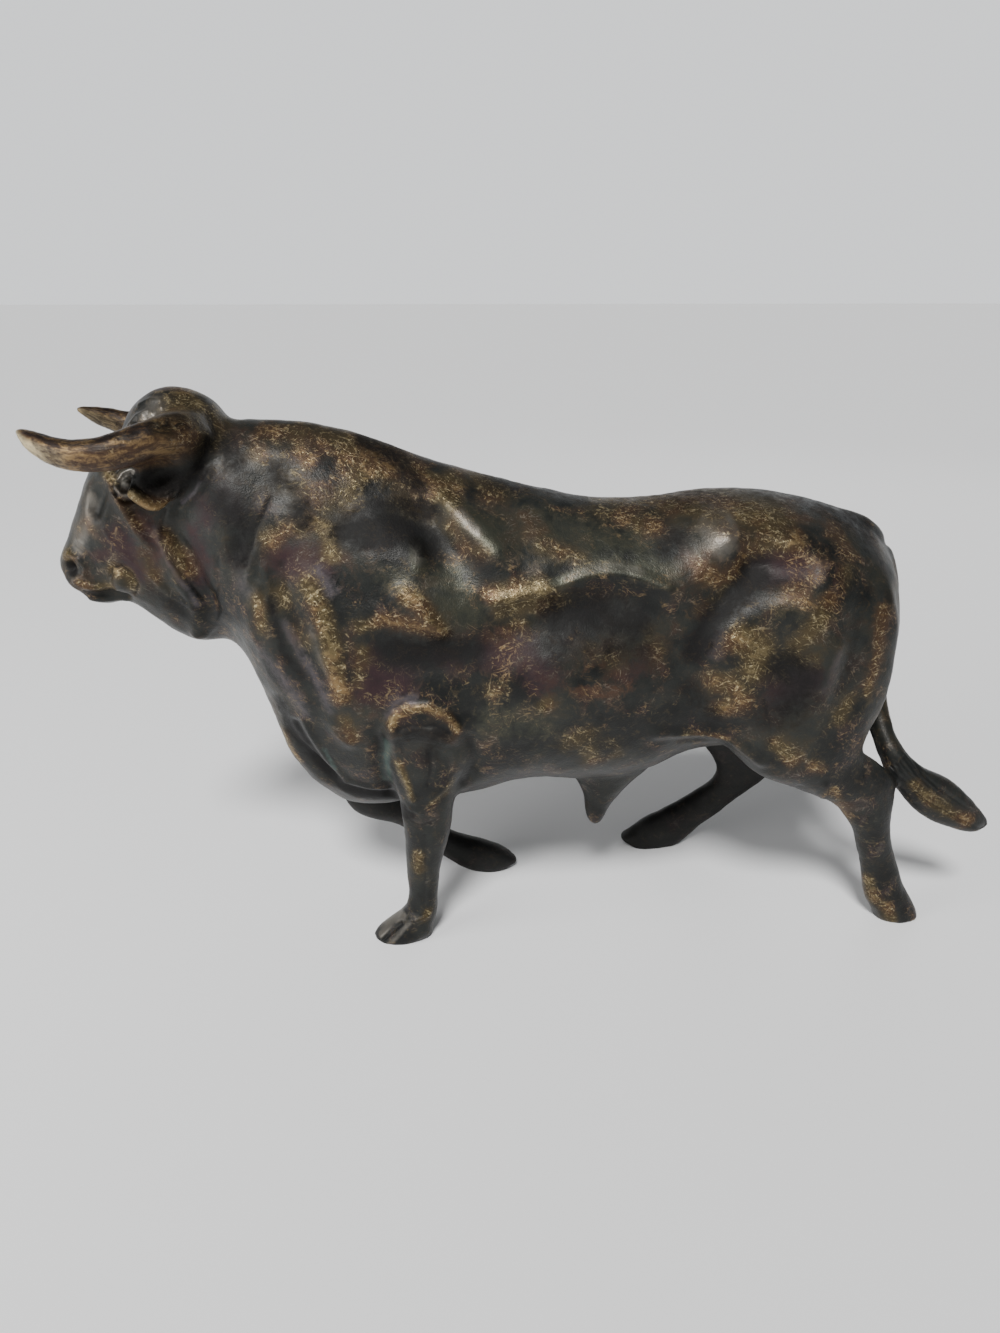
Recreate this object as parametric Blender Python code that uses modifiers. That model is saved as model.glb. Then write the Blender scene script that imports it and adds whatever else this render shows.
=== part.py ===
"""A cast bronze bull that walks with its head down, as one solid.

Metres, +Z up. The bull faces -X, and its left side, the one that is mostly seen, faces -Y. The origin is
under the middle of the figure, on the surface that its hooves stand on.

The figure is free form, so its pose, proportions and carving are given in thousandths of its length, and
LENGTH alone sets its size.
"""

import math
from collections import namedtuple

import bmesh
import bpy
import numpy as np

LENGTH = 0.42                   # muzzle to the tip of the tail
THOUSANDTH = LENGTH / 1000.0

# How finely the forms are worked
SECTION_POINTS = 40             # points round a section
STEPS_BETWEEN_RIBS = 5
FUSING_GRAIN = 3.4              # cell that the forms are fused on, in thousandths
TRIANGLES = 9700                # in the finished casting
HEAD_CARE = 2.5e-5              # how much more the head counts when triangles are saved
FILLET_ROUNDS = 34              # rounds that fill the creases where forms meet
POLISH_ROUNDS = 5               # rounds that even the whole surface
CARVING_POLISH_ROUNDS = 3       # and those that soften the carving
FILLET_SHARE = 0.8              # share of a hollow's step that one round fills
POLISH_SHARE = 0.5              # share of the step that one round evens

# A stroke fades where the surface turns away from the side that it is worked from
TURNING_GAIN = 1.6
TURNING_LOSS = 0.2

# Where the triangles stay small, in thousandths: before FACE_PLACE, and below HOOF_HEIGHT
FACE_PLACE = -300.0
HOOF_HEIGHT = 140.0
CARE_FADES_OVER = 60.0
HOOF_CARE = 0.5
LEAST_WEIGHT = 0.1

SLIVER = 0.0003                 # triangles thinner than this are dropped, in metres
SAME_PLACE = 1e-7               # points this near the ground count as on it, in metres

BRONZE_COLOUR = (0.075, 0.058, 0.036, 1.0)
BRONZE_ROUGHNESS = 0.38

NEAR = -1.0                     # the left side, at -Y
FAR = 1.0                       # the right side, at +Y

# A section of a form, seen from the side: its front or upper end, its back or lower end, how far its middle
# lies to the side, its half width, where between the ends it is widest, and how full it is towards each end
# (2 is an ellipse, less is keeled, more is boxy).
Rib = namedtuple("Rib", "front back side half_width widest front_fullness back_fullness",
                 defaults=(0.5, 2.0, 2.0))

# A stop on the path of a round form: its place, its radius across, and its radius in the side view's plane.
Stop = namedtuple("Stop", "x y z across radius")

# A stroke of the modelling tool: a name, the side or sides it is on, its depth, its width, and its path in
# the side view. A depth above zero raises the surface, and one below zero presses it in.
Stroke = namedtuple("Stroke", "name sides depth width path")

# A dab of the tool at one point in space.
Dab = namedtuple("Dab", "name place depth radii")


TRUNK = (
    Rib((370, 388), (368, 316), 0, 22),
    Rib((362, 418), (360, 282), 0, 58),
    Rib((344, 443), (342, 256), 0, 84),
    Rib((312, 464), (310, 232), 0, 102, 0.50, 1.9, 2.0),
    Rib((266, 482), (260, 212), 0, 111, 0.50, 1.9, 2.0),
    Rib((202, 492), (200, 208), 0, 112, 0.48, 1.9, 2.1),
    Rib((148, 489), (150, 203), 0, 108, 0.50, 1.9, 2.2),
    Rib((95, 484), (96, 181), 0, 112, 0.52, 1.9, 2.2),
    Rib((41, 485), (41, 176), 0, 118, 0.54, 1.8, 2.2),
    Rib((-24, 500), (-25, 180), 0, 122, 0.56, 1.7, 2.2),
    Rib((-85, 517), (-85, 163), 0, 121, 0.58, 1.6, 2.1),
    Rib((-141, 535), (-140, 154), 0, 117, 0.58, 1.6, 1.9),
    Rib((-196, 556), (-194, 140), 0, 110, 0.56, 1.6, 1.7),
    Rib((-244, 567), (-238, 152), 0, 100, 0.54, 1.7, 1.6),
    Rib((-283, 568), (-276, 192), 0, 92, 0.52, 1.8, 1.6),
    Rib((-310, 566), (-293, 242), 0, 84, 0.50, 1.9, 1.7),
    Rib((-330, 562), (-308, 296), 0, 76, 0.48, 2.0, 1.8),
    Rib((-352, 556), (-328, 334), 0, 66, 0.46, 2.0, 1.8),
    Rib((-376, 540), (-352, 350), 0, 50),
)

HEAD = (
    Rib((-352, 580), (-322, 352), 0, 50),
    Rib((-382, 574), (-342, 341), 0, 57, 0.42),
    Rib((-407, 566), (-370, 340), 0, 59, 0.38, 2.2, 1.9),
    Rib((-431, 548), (-392, 350), 0, 57, 0.34, 2.4, 1.8),
    Rib((-452, 526), (-408, 363), 0, 51, 0.34, 2.4, 1.8),
    Rib((-466, 499), (-422, 375), 0, 44, 0.36, 2.3, 1.8),
    Rib((-478, 475), (-433, 385), 0, 37, 0.42, 2.2, 1.9),
    Rib((-490, 449), (-446, 385), 0, 33, 0.50, 2.2, 2.1),
    Rib((-499, 428), (-459, 383), 0, 32, 0.50, 2.3, 2.2),
    Rib((-496, 419), (-467, 389), 0, 27, 0.50, 2.2, 2.2),
    Rib((-490, 411), (-475, 398), 0, 14),
)

# The legs are given as they stand: each middle's distance to the side is counted outwards.
NEAR_FORELEG = (
    Rib((-206, 405), (-104, 402), 66, 30),
    Rib((-212, 363), (-95, 360), 74, 38),
    Rib((-202, 325), (-90, 322), 77, 40),
    Rib((-187, 298), (-90, 293), 79, 37),
    Rib((-178, 259), (-92, 250), 79, 32),
    Rib((-173, 223), (-97, 218), 78, 28),
    Rib((-167, 187), (-106, 182), 74, 24),
    Rib((-162, 150), (-110, 144), 70, 22),
    Rib((-161, 118), (-117, 114), 67, 18),
    Rib((-160, 82), (-124, 79), 63, 15),
    Rib((-160, 50), (-126, 49), 60, 15),
    Rib((-168, 31), (-128, 27), 58, 18),
    Rib((-183, 18), (-135, 13), 58, 21),
    Rib((-198, 5), (-142, 3), 58, 23),
    Rib((-202, -9), (-144, -10), 58, 23),
)

FAR_FORELEG = (
    Rib((-206, 405), (-104, 402), 66, 30),
    Rib((-214, 363), (-95, 360), 74, 38),
    Rib((-212, 318), (-92, 308), 77, 38),
    Rib((-214, 275), (-98, 255), 78, 35),
    Rib((-222, 232), (-112, 205), 76, 30),
    Rib((-232, 190), (-134, 158), 74, 27),
    Rib((-238, 150), (-156, 128), 72, 24),
    Rib((-239, 113), (-168, 120), 71, 22),
    Rib((-224, 88), (-156, 109), 71, 20),
    Rib((-197, 76), (-142, 97), 72, 17),
    Rib((-171, 66), (-129, 79), 73, 14),
    Rib((-146, 40), (-113, 59), 73, 14),
    Rib((-119, 20), (-94, 48), 74, 16),
    Rib((-93, 2), (-74, 41), 74, 18),
    Rib((-66, -7), (-54, 33), 74, 19),
    Rib((-42, -2), (-39, 24), 74, 15),
    Rib((-29, 8), (-28, 14), 74, 6),
)

NEAR_HIND_LEG = (
    Rib((196, 452), (318, 430), 54, 40),
    Rib((165, 395), (342, 381), 66, 46),
    Rib((150, 331), (348, 326), 73, 46),
    Rib((162, 264), (344, 278), 75, 42),
    Rib((207, 208), (332, 243), 77, 35),
    Rib((254, 184), (331, 223), 76, 28),
    Rib((296, 165), (354, 206), 75, 22),
    Rib((317, 149), (376, 182), 73, 20),
    Rib((333, 127), (377, 141), 71, 17),
    Rib((342, 107), (384, 108), 68, 15),
    Rib((353, 76), (397, 77), 64, 14),
    Rib((360, 50), (408, 48), 62, 16),
    Rib((368, 24), (423, 21), 60, 20),
    Rib((380, 5), (433, 3), 59, 22),
    Rib((386, -9), (436, -10), 59, 22),
)

FAR_HIND_LEG = (
    Rib((196, 452), (318, 430), 54, 40),
    Rib((165, 395), (342, 381), 66, 46),
    Rib((160, 331), (348, 326), 75, 46),
    Rib((176, 270), (348, 284), 82, 42),
    Rib((198, 218), (346, 238), 90, 35),
    Rib((192, 192), (342, 206), 94, 30),
    Rib((205, 158), (338, 172), 99, 25),
    Rib((227, 126), (322, 136), 104, 21),
    Rib((231, 105), (300, 103), 107, 18),
    Rib((223, 90), (272, 76), 110, 16),
    Rib((201, 72), (243, 47), 113, 15),
    Rib((173, 53), (218, 26), 116, 16),
    Rib((146, 37), (202, 8), 118, 19),
    Rib((126, 20), (184, -6), 120, 21),
    Rib((112, 8), (160, -12), 120, 20),
)

SHEATH = (
    Rib((6, 192), (140, 196), 0, 36),
    Rib((25, 171), (114, 171), 0, 29),
    Rib((40, 150), (92, 150), 0, 22),
    Rib((46, 128), (79, 130), 0, 15),
    Rib((48, 112), (70, 113), 0, 11),
    Rib((53, 101), (65, 101), 0, 7),
)

TAIL = (
    Stop(240, 0, 472, 10, 10),
    Stop(262, 0, 470, 13, 13),
    Stop(294, 0, 462, 14, 14),
    Stop(332, 0, 447, 14, 14),
    Stop(359, -1, 416, 13, 13),
    Stop(370, -3, 380, 13, 12),
    Stop(372, -6, 342, 13, 12),
    Stop(369, -11, 300, 13, 12),
    Stop(366, -20, 262, 13, 12),
    Stop(368, -32, 236, 13, 13),
    Stop(375, -48, 212, 14, 14),
    Stop(387, -58, 191, 15, 17),
    Stop(405, -61, 173, 16, 21),
    Stop(428, -59, 156, 17, 26),
    Stop(452, -60, 140, 16, 24),
    Stop(476, -61, 125, 13, 17),
    Stop(492, -61, 117, 8, 9),
    Stop(499, -61, 113, 3, 3),
)

# The horns are a pair: the distances to the side are counted outwards.
HORN = (
    Stop(-348, 34, 556, 22, 24),
    Stop(-360, 58, 557, 22, 24),
    Stop(-376, 78, 556, 19, 20),
    Stop(-396, 92, 552, 17, 18),
    Stop(-417, 100, 549, 15, 15.5),
    Stop(-438, 102, 549, 14, 14.5),
    Stop(-458, 99, 554, 12, 12.5),
    Stop(-473, 93, 560, 10, 10),
    Stop(-485, 86, 566, 6, 6),
    Stop(-491, 81, 570, 3.5, 3.5),
)

EAR = (
    Rib((-336, 560), (-346, 520), 50, 15),
    Rib((-352, 553), (-358, 505), 62, 14),
    Rib((-368, 546), (-373, 494), 70, 12),
    Rib((-386, 538), (-388, 494), 77, 10),
    Rib((-400, 526), (-400, 506), 81, 6),
)

POLL_CENTRE = (-369, 0, 539)
POLL_RADII = (56, 50, 59)

BOTH = (NEAR, FAR)

STROKES = (
    Stroke("scapula hollow", BOTH, -8, 16, ((-131, 488), (-120, 463), (-105, 443))),
    Stroke("scapula ridge", BOTH, 9, 11, ((-111, 492), (-92, 471), (-75, 457), (-60, 448))),
    Stroke("shoulder", BOTH, 9, 20, ((-178, 452), (-162, 456), (-150, 430), (-140, 408))),
    Stroke("upper arm ledge", BOTH, 8, 10, ((-196, 384), (-176, 388), (-150, 392), (-123, 389), (-106, 370))),
    Stroke("upper arm hollow", BOTH, -9, 17, ((-172, 352), (-145, 352), (-118, 345))),
    Stroke("behind the elbow", BOTH, -9, 12, ((-90, 358), (-86, 325), (-80, 300))),
    Stroke("forearm head", BOTH, 11, 12, ((-166, 277), (-142, 287), (-112, 276))),
    Stroke("before the forearm", BOTH, -8, 6, ((-180, 284), (-182, 256), (-182, 228), (-178, 200), (-169, 176))),
    Stroke("behind the forearm", BOTH, -7, 6, ((-92, 274), (-88, 250), (-89, 225), (-96, 202))),
    Stroke("above the forearm", BOTH, -8, 8, ((-178, 300), (-160, 316), (-140, 320), (-112, 312), (-94, 298))),
    Stroke("rib arch", BOTH, 8, 10, ((-62, 412), (-38, 422), (-12, 426), (20, 431), (50, 433), (76, 430),
                                     (99, 422), (114, 411))),
    Stroke("under the rib arch", BOTH, -9, 18, ((-56, 380), (-30, 392), (3, 402), (51, 406), (88, 396))),
    Stroke("lower belly", BOTH, 5, 20, ((-24, 318), (20, 314), (70, 314), (104, 322))),
    Stroke("hip bone", BOTH, 11, 12, ((152, 474), (156, 450))),
    Stroke("croup", BOTH, 6, 12, ((182, 456), (200, 460), (222, 459), (245, 450))),
    Stroke("under the croup", BOTH, -9, 14, ((176, 430), (203, 429), (238, 430))),
    Stroke("flank", BOTH, -10, 15, ((186, 416), (163, 402), (138, 377), (120, 344), (112, 312))),
    Stroke("stifle", BOTH, 8, 17, ((162, 372), (172, 344), (181, 306))),
    Stroke("behind the stifle", BOTH, -8, 12, ((210, 352), (226, 331), (215, 304))),
    Stroke("thigh", BOTH, 6, 18, ((224, 398), (245, 380))),
    Stroke("thigh ridge", BOTH, 6, 10, ((262, 350), (264, 302))),
    Stroke("buttock groove", BOTH, -8, 14, ((302, 415), (297, 379), (299, 339), (294, 295))),
    Stroke("buttock ridge", BOTH, 5, 10, ((332, 397), (345, 342), (346, 274))),
    Stroke("flank fold", BOTH, 5, 6, ((100, 262), (144, 258), (180, 250), (215, 226))),
    Stroke("neck notch", BOTH, -6, 9, ((-275, 523), (-279, 505), (-283, 488), (-292, 474), (-302, 456))),
    Stroke("neck muscle", BOTH, 8, 12, ((-238, 428), (-234, 405), (-227, 368), (-220, 340), (-216, 305))),
    Stroke("long neck fold", BOTH, 6, 9, ((-272, 388), (-256, 352), (-241, 320), (-228, 288), (-212, 261))),
    Stroke("throat fold", BOTH, 5, 9, ((-296, 401), (-295, 374), (-283, 349), (-269, 312))),
    Stroke("between the neck folds", BOTH, -6, 9, ((-284, 420), (-279, 388), (-272, 356), (-258, 331),
                                                   (-243, 298))),
    Stroke("dewlap valley", BOTH, -9, 11, ((-292, 291), (-280, 250), (-266, 226), (-242, 196))),
    Stroke("ridge under the eye", BOTH, 5, 6, ((-419, 506), (-404, 479), (-397, 452))),
    Stroke("cheek groove", BOTH, -5, 6, ((-394, 455), (-382, 414), (-367, 387))),
    Stroke("cheek edge", BOTH, 5, 6, ((-386, 464), (-373, 424), (-360, 388), (-366, 356))),
    Stroke("behind the cheek", BOTH, -7, 8, ((-372, 470), (-356, 430), (-346, 392))),
    Stroke("side of the nose", BOTH, -4, 8, ((-441, 500), (-446, 488))),
    Stroke("mouth", BOTH, -4, 3.5, ((-486, 400), (-466, 398), (-445, 401), (-431, 396))),
    Stroke("upper lip", BOTH, 3, 6, ((-479, 412), (-459, 407))),
    Stroke("lip corner", BOTH, 6, 7, ((-433, 418), (-432, 410))),
)

DABS = (
    Dab("near ear hollow", (-363, -88, 523), -20, (22, 22, 15)),
    Dab("far ear hollow", (-363, 88, 523), -20, (22, 22, 15)),
    Dab("near brow", (-428, -48, 524), 5, (11, 14, 10)),
    Dab("far brow", (-428, 48, 524), 5, (11, 14, 10)),
    Dab("near eye", (-414, -56, 513), 4, (8, 12, 8)),
    Dab("far eye", (-414, 56, 513), 4, (8, 12, 8)),
    Dab("near nostril", (-490, -20, 424), -4, (6, 8, 6)),
    Dab("far nostril", (-490, 20, 424), -4, (6, 8, 6)),
)


def clear_scene():
    for item in list(bpy.data.objects):
        bpy.data.objects.remove(item, do_unlink=True)


def smooth_path(values, steps):
    """Read a Catmull-Rom curve through rows of values, with so many steps between two rows."""
    rows = np.array(values, dtype=float)
    first = 2.0 * rows[0] - rows[1]
    last = 2.0 * rows[-1] - rows[-2]
    rows = np.vstack((first, rows, last))
    read = []
    for index in range(1, len(rows) - 2):
        a, b, c, d = rows[index - 1:index + 3]
        for step in range(steps):
            t = step / steps
            read.append(0.5 * (2.0 * b + (c - a) * t + (2.0 * a - 5.0 * b + 4.0 * c - d) * t * t
                               + (3.0 * b - a - 3.0 * c + d) * t ** 3))
    read.append(rows[-2])
    return np.array(read)


def skin(name, rings):
    """Make one closed mesh from rings of points, each ring joined to the next."""
    form = bmesh.new()
    rows = [[form.verts.new(point) for point in ring] for ring in rings]
    for row, following in zip(rows, rows[1:]):
        for index in range(len(row)):
            after = (index + 1) % len(row)
            form.faces.new((row[index], row[after], following[after], following[index]))
    form.faces.new(rows[0][::-1])
    form.faces.new(rows[-1])
    bmesh.ops.recalc_face_normals(form, faces=form.faces[:])
    mesh = bpy.data.meshes.new(name)
    form.to_mesh(mesh)
    form.free()
    item = bpy.data.objects.new(name, mesh)
    bpy.context.scene.collection.objects.link(item)
    return item


def ribbed_form(name, ribs, side=FAR):
    """Loft a form through its ribs."""
    numbers = [(*rib.front, *rib.back, rib.side, rib.half_width, rib.widest, rib.front_fullness,
                rib.back_fullness) for rib in ribs]
    rings = []
    for row in smooth_path(numbers, STEPS_BETWEEN_RIBS):
        front = row[0:2]
        back = row[2:4]
        middle, half_width, widest, front_fullness, back_fullness = row[4:9]
        ring = []
        for index in range(SECTION_POINTS):
            angle = 2.0 * math.pi * index / SECTION_POINTS
            along = math.cos(angle)
            across = math.sin(angle)
            fullness = front_fullness if along > 0.0 else back_fullness
            reach = abs(along) ** (2.0 / fullness)
            breadth = math.copysign(abs(across) ** (2.0 / fullness), across)
            share = widest - widest * reach if along > 0.0 else widest + (1.0 - widest) * reach
            x, z = front + (back - front) * share
            y = side * (middle + half_width * breadth)
            ring.append((x * THOUSANDTH, y * THOUSANDTH, z * THOUSANDTH))
        rings.append(ring)
    return skin(name, rings)


def round_form(name, stops, side=FAR):
    """Sweep a round or oval section along its stops."""
    numbers = [(stop.x, side * stop.y, stop.z, stop.across, stop.radius) for stop in stops]
    path = smooth_path(numbers, STEPS_BETWEEN_RIBS)
    rings = []
    for index, row in enumerate(path):
        before = path[max(index - 1, 0)][:3]
        after = path[min(index + 1, len(path) - 1)][:3]
        ahead = (after - before) / np.linalg.norm(after - before)
        sideways = np.cross(ahead, (0.0, 0.0, 1.0))
        if abs(ahead[2]) > 0.8 or abs(sideways[1]) < 0.2:
            sideways = np.array((0.0, 1.0, 0.0))
        sideways -= ahead * np.dot(sideways, ahead)
        sideways /= np.linalg.norm(sideways)
        upright = np.cross(sideways, ahead)
        ring = []
        for turn in range(SECTION_POINTS):
            angle = 2.0 * math.pi * turn / SECTION_POINTS
            point = row[:3] + sideways * row[3] * math.cos(angle) + upright * row[4] * math.sin(angle)
            ring.append(tuple(point * THOUSANDTH))
        rings.append(ring)
    return skin(name, rings)


def ball(name, centre, radii):
    bpy.ops.mesh.primitive_uv_sphere_add(segments=SECTION_POINTS, ring_count=SECTION_POINTS // 2, radius=1.0,
                                         location=[value * THOUSANDTH for value in centre])
    item = bpy.context.active_object
    item.name = name
    item.scale = [value * THOUSANDTH for value in radii]
    bpy.ops.object.transform_apply(location=True, rotation=False, scale=True)
    return item


def rough_forms():
    """Every form of the bull, as it is blocked out before the forms are fused."""
    return [
        ribbed_form("trunk", TRUNK),
        ribbed_form("head", HEAD),
        ball("poll", POLL_CENTRE, POLL_RADII),
        ribbed_form("near_foreleg", NEAR_FORELEG, NEAR),
        ribbed_form("far_foreleg", FAR_FORELEG, FAR),
        ribbed_form("near_hind_leg", NEAR_HIND_LEG, NEAR),
        ribbed_form("far_hind_leg", FAR_HIND_LEG, FAR),
        ribbed_form("sheath", SHEATH),
        round_form("tail", TAIL),
        round_form("near_horn", HORN, NEAR),
        round_form("far_horn", HORN, FAR),
        ribbed_form("near_ear", EAR, NEAR),
        ribbed_form("far_ear", EAR, FAR),
    ]


def apply_modifier(item, kind, **settings):
    modifier = item.modifiers.new(kind.title(), kind)
    for name, value in settings.items():
        setattr(modifier, name, value)
    bpy.ops.object.select_all(action="DESELECT")
    item.select_set(True)
    bpy.context.view_layer.objects.active = item
    bpy.ops.object.modifier_apply(modifier=modifier.name)


def fused(items, name):
    """Join the blocked-out forms and fuse them into one skin."""
    bpy.ops.object.select_all(action="DESELECT")
    for item in items:
        item.select_set(True)
    bpy.context.view_layer.objects.active = items[0]
    bpy.ops.object.join()
    figure = bpy.context.active_object
    figure.name = name
    figure.data.name = name
    apply_modifier(figure, "REMESH", mode="VOXEL", voxel_size=FUSING_GRAIN * THOUSANDTH)
    return figure


def points_of(mesh):
    places = np.empty(len(mesh.vertices) * 3)
    mesh.vertices.foreach_get("co", places)
    return places.reshape(-1, 3) / THOUSANDTH


def normals_of(mesh):
    mesh.update()
    facing = np.empty(len(mesh.vertices) * 3, dtype=np.float32)
    mesh.vertex_normals.foreach_get("vector", facing)
    return facing.reshape(-1, 3).astype(float)


def put_points(mesh, points):
    mesh.vertices.foreach_set("co", (points * THOUSANDTH).ravel())
    mesh.update()


def neighbours_of(mesh):
    pairs = np.empty(len(mesh.edges) * 2, dtype=np.int32)
    mesh.edges.foreach_get("vertices", pairs)
    return pairs.reshape(-1, 2)


def pull_to_neighbours(points, pairs):
    """The step from each point to the middle of its neighbours."""
    count = len(points)
    shares = np.bincount(pairs.ravel(), minlength=count)
    middle = np.empty_like(points)
    for axis in range(3):
        total = np.bincount(pairs[:, 0], weights=points[pairs[:, 1], axis], minlength=count)
        total += np.bincount(pairs[:, 1], weights=points[pairs[:, 0], axis], minlength=count)
        middle[:, axis] = total / shares
    return middle - points


def fill_creases(mesh, rounds):
    """Round off the inner corners where forms meet, and leave what stands proud as it is."""
    pairs = neighbours_of(mesh)
    points = points_of(mesh)
    for _ in range(rounds):
        put_points(mesh, points)
        facing = normals_of(mesh)
        step = pull_to_neighbours(points, pairs)
        hollow = np.clip(np.einsum("ij,ij->i", step, facing), 0.0, None)
        points = points + FILLET_SHARE * hollow[:, None] * facing
    put_points(mesh, points)


def polish(mesh, rounds):
    pairs = neighbours_of(mesh)
    points = points_of(mesh)
    for _ in range(rounds):
        points = points + POLISH_SHARE * pull_to_neighbours(points, pairs)
    put_points(mesh, points)


def distance_to_path(points, path):
    """How far each point is from a path, both seen from the side."""
    nearest = np.full(len(points), np.inf)
    for start, end in zip(path, path[1:]):
        start = np.array(start, dtype=float)
        along = np.array(end, dtype=float) - start
        share = np.clip((points - start) @ along / (along @ along), 0.0, 1.0)
        nearest = np.minimum(nearest, np.linalg.norm(points - start - share[:, None] * along, axis=1))
    return nearest


def carve(mesh):
    """Work every stroke and dab into the surface."""
    points = points_of(mesh)
    facing = normals_of(mesh)
    lift = np.zeros(len(points))
    for stroke in STROKES:
        away = distance_to_path(points[:, (0, 2)], stroke.path)
        strength = stroke.depth * np.exp(-((away / stroke.width) ** 2))
        for side in stroke.sides:
            lift += strength * np.clip(TURNING_GAIN * side * facing[:, 1] - TURNING_LOSS, 0.0, 1.0)
    for dab in DABS:
        away = np.linalg.norm((points - np.array(dab.place)) / np.array(dab.radii), axis=1)
        lift += dab.depth * np.exp(-(away ** 2))
    put_points(mesh, points + lift[:, None] * facing)


def thin_out(figure):
    """Leave fewer, larger triangles, with the smallest on the head, the hooves and the tail."""
    points = points_of(figure.data)
    head = np.clip((FACE_PLACE - points[:, 0]) / CARE_FADES_OVER, 0.0, 1.0)
    hooves = np.clip((HOOF_HEIGHT - points[:, 2]) / CARE_FADES_OVER, 0.0, 1.0)
    keep = np.maximum(head, HOOF_CARE * hooves)
    group = figure.vertex_groups.new(name="broad")
    for index, value in enumerate(keep):
        group.add([index], 1.0 - (1.0 - LEAST_WEIGHT) * float(value), "REPLACE")
    now = sum(len(face.vertices) - 2 for face in figure.data.polygons)
    apply_modifier(figure, "DECIMATE", ratio=TRIANGLES / now, vertex_group="broad",
                   vertex_group_factor=HEAD_CARE, use_collapse_triangulate=True)
    figure.vertex_groups.clear()


def cut_soles(mesh):
    """Drop the slivers among the triangles, and cut the hooves flat where they stand."""
    form = bmesh.new()
    form.from_mesh(mesh)
    bmesh.ops.dissolve_degenerate(form, dist=SLIVER, edges=form.edges[:])
    bmesh.ops.triangulate(form, faces=[face for face in form.faces if len(face.verts) > 3])
    everything = form.verts[:] + form.edges[:] + form.faces[:]
    bmesh.ops.bisect_plane(form, geom=everything, dist=SAME_PLACE, plane_co=(0.0, 0.0, 0.0),
                           plane_no=(0.0, 0.0, -1.0), clear_outer=True)
    open_edges = [edge for edge in form.edges if edge.is_boundary]
    bmesh.ops.holes_fill(form, edges=open_edges, sides=0)
    bmesh.ops.triangulate(form, faces=[face for face in form.faces if len(face.verts) > 3])
    bmesh.ops.recalc_face_normals(form, faces=form.faces[:])
    form.to_mesh(mesh)
    form.free()


def centre_on_origin(mesh):
    points = points_of(mesh)
    low = points.min(axis=0)
    high = points.max(axis=0)
    middle = (low + high) / 2.0
    put_points(mesh, points - np.array((middle[0], middle[1], low[2])))


def bronze():
    material = bpy.data.materials.new("bronze")
    material.use_nodes = True
    shader = material.node_tree.nodes["Principled BSDF"]
    shader.inputs["Base Color"].default_value = BRONZE_COLOUR
    shader.inputs["Metallic"].default_value = 1.0
    shader.inputs["Roughness"].default_value = BRONZE_ROUGHNESS
    return material


def build():
    clear_scene()
    figure = fused(rough_forms(), "bull")
    fill_creases(figure.data, FILLET_ROUNDS)
    polish(figure.data, POLISH_ROUNDS)
    carve(figure.data)
    polish(figure.data, CARVING_POLISH_ROUNDS)
    thin_out(figure)
    cut_soles(figure.data)
    centre_on_origin(figure.data)
    figure.data.materials.clear()
    figure.data.materials.append(bronze())
    figure.data.shade_smooth()
    collection = bpy.data.collections.new("bull_sculpture")
    bpy.context.scene.collection.children.link(collection)
    for holder in list(figure.users_collection):
        holder.objects.unlink(figure)
    collection.objects.link(figure)


build()
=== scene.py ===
import math
from collections import namedtuple

import bmesh
import bpy
import numpy as np
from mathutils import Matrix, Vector, noise


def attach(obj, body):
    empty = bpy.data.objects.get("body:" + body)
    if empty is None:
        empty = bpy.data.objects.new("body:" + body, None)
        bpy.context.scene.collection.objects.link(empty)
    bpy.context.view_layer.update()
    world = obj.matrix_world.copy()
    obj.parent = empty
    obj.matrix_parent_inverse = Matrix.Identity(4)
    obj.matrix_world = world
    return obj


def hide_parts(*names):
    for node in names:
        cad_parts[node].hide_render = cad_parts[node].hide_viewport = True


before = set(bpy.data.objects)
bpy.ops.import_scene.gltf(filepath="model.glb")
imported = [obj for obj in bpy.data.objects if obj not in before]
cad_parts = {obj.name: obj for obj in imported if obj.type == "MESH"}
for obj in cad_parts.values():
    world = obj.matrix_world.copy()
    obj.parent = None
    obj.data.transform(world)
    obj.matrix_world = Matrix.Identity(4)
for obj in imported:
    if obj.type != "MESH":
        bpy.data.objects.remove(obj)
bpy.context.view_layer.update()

# The bull's own measure: places on it are in thousandths of its length, as seen from the side
LENGTH = 0.42  # metres
THOUSANDTH = LENGTH / 1000.0
MIDDLE = -6.7  # the plane down the middle of the bull, across the part's frame
NEAR = -1.0  # the bull's left side
FAR = 1.0  # and its right
BOTH = (NEAR, FAR)

# How the casting is reworked
JOIN_DISTANCE = 0.00001  # metres
SKIN_GRAIN = 0.0011  # metres between two points of the worked skin
FACET_ROUNDS = 16  # rounds that take the facets off
STEP_IN = 0.55  # how far each such round goes in,
STEP_OUT = 0.57  # and out again
TRUNK_ROUNDS = 200  # more rounds that soften the trunk
TRUNK_RISE = 1.3  # what those rounds take off, given back, in thousandths
PIECE_TRIANGLES = 194000
HEAD_CARE = 5e-6  # how much more the head counts when triangles are saved
HEAD_PLACE = -330.0  # the skin is worked finer before this, in thousandths
HOOF_HEIGHT = 62.0  # below this
TUFT_PLACE = 366.0  # and on the tuft of the tail
TUFT_HEIGHT = 215.0
TRUNK_FRONT = -318.0  # the trunk is softened behind this,
TRUNK_BACK = 335.0  # before this
TRUNK_LOW = 262.0  # and above this
TRUNK_FADES = (28.0, 30.0, 40.0)  # and how far the softening takes to come in at each
LEG_TOP = 252.0  # the legs begin below this, over this height
LEG_FADE = 50.0
FAR_LEG_OUT = 10.0  # the far ones begin this far out from the middle, over this width
FAR_LEG_FADE = 12.0
HEAD_FADE = 30.0  # how far the care for the head takes to come in
HEAD_SAVED = 0.9  # and how much less of it may be taken away there
NEAR_ROUNDS = 6  # rounds that take off the fine relief, to note it for the patina,
FAR_ROUNDS = 90  # and the broad relief
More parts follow.
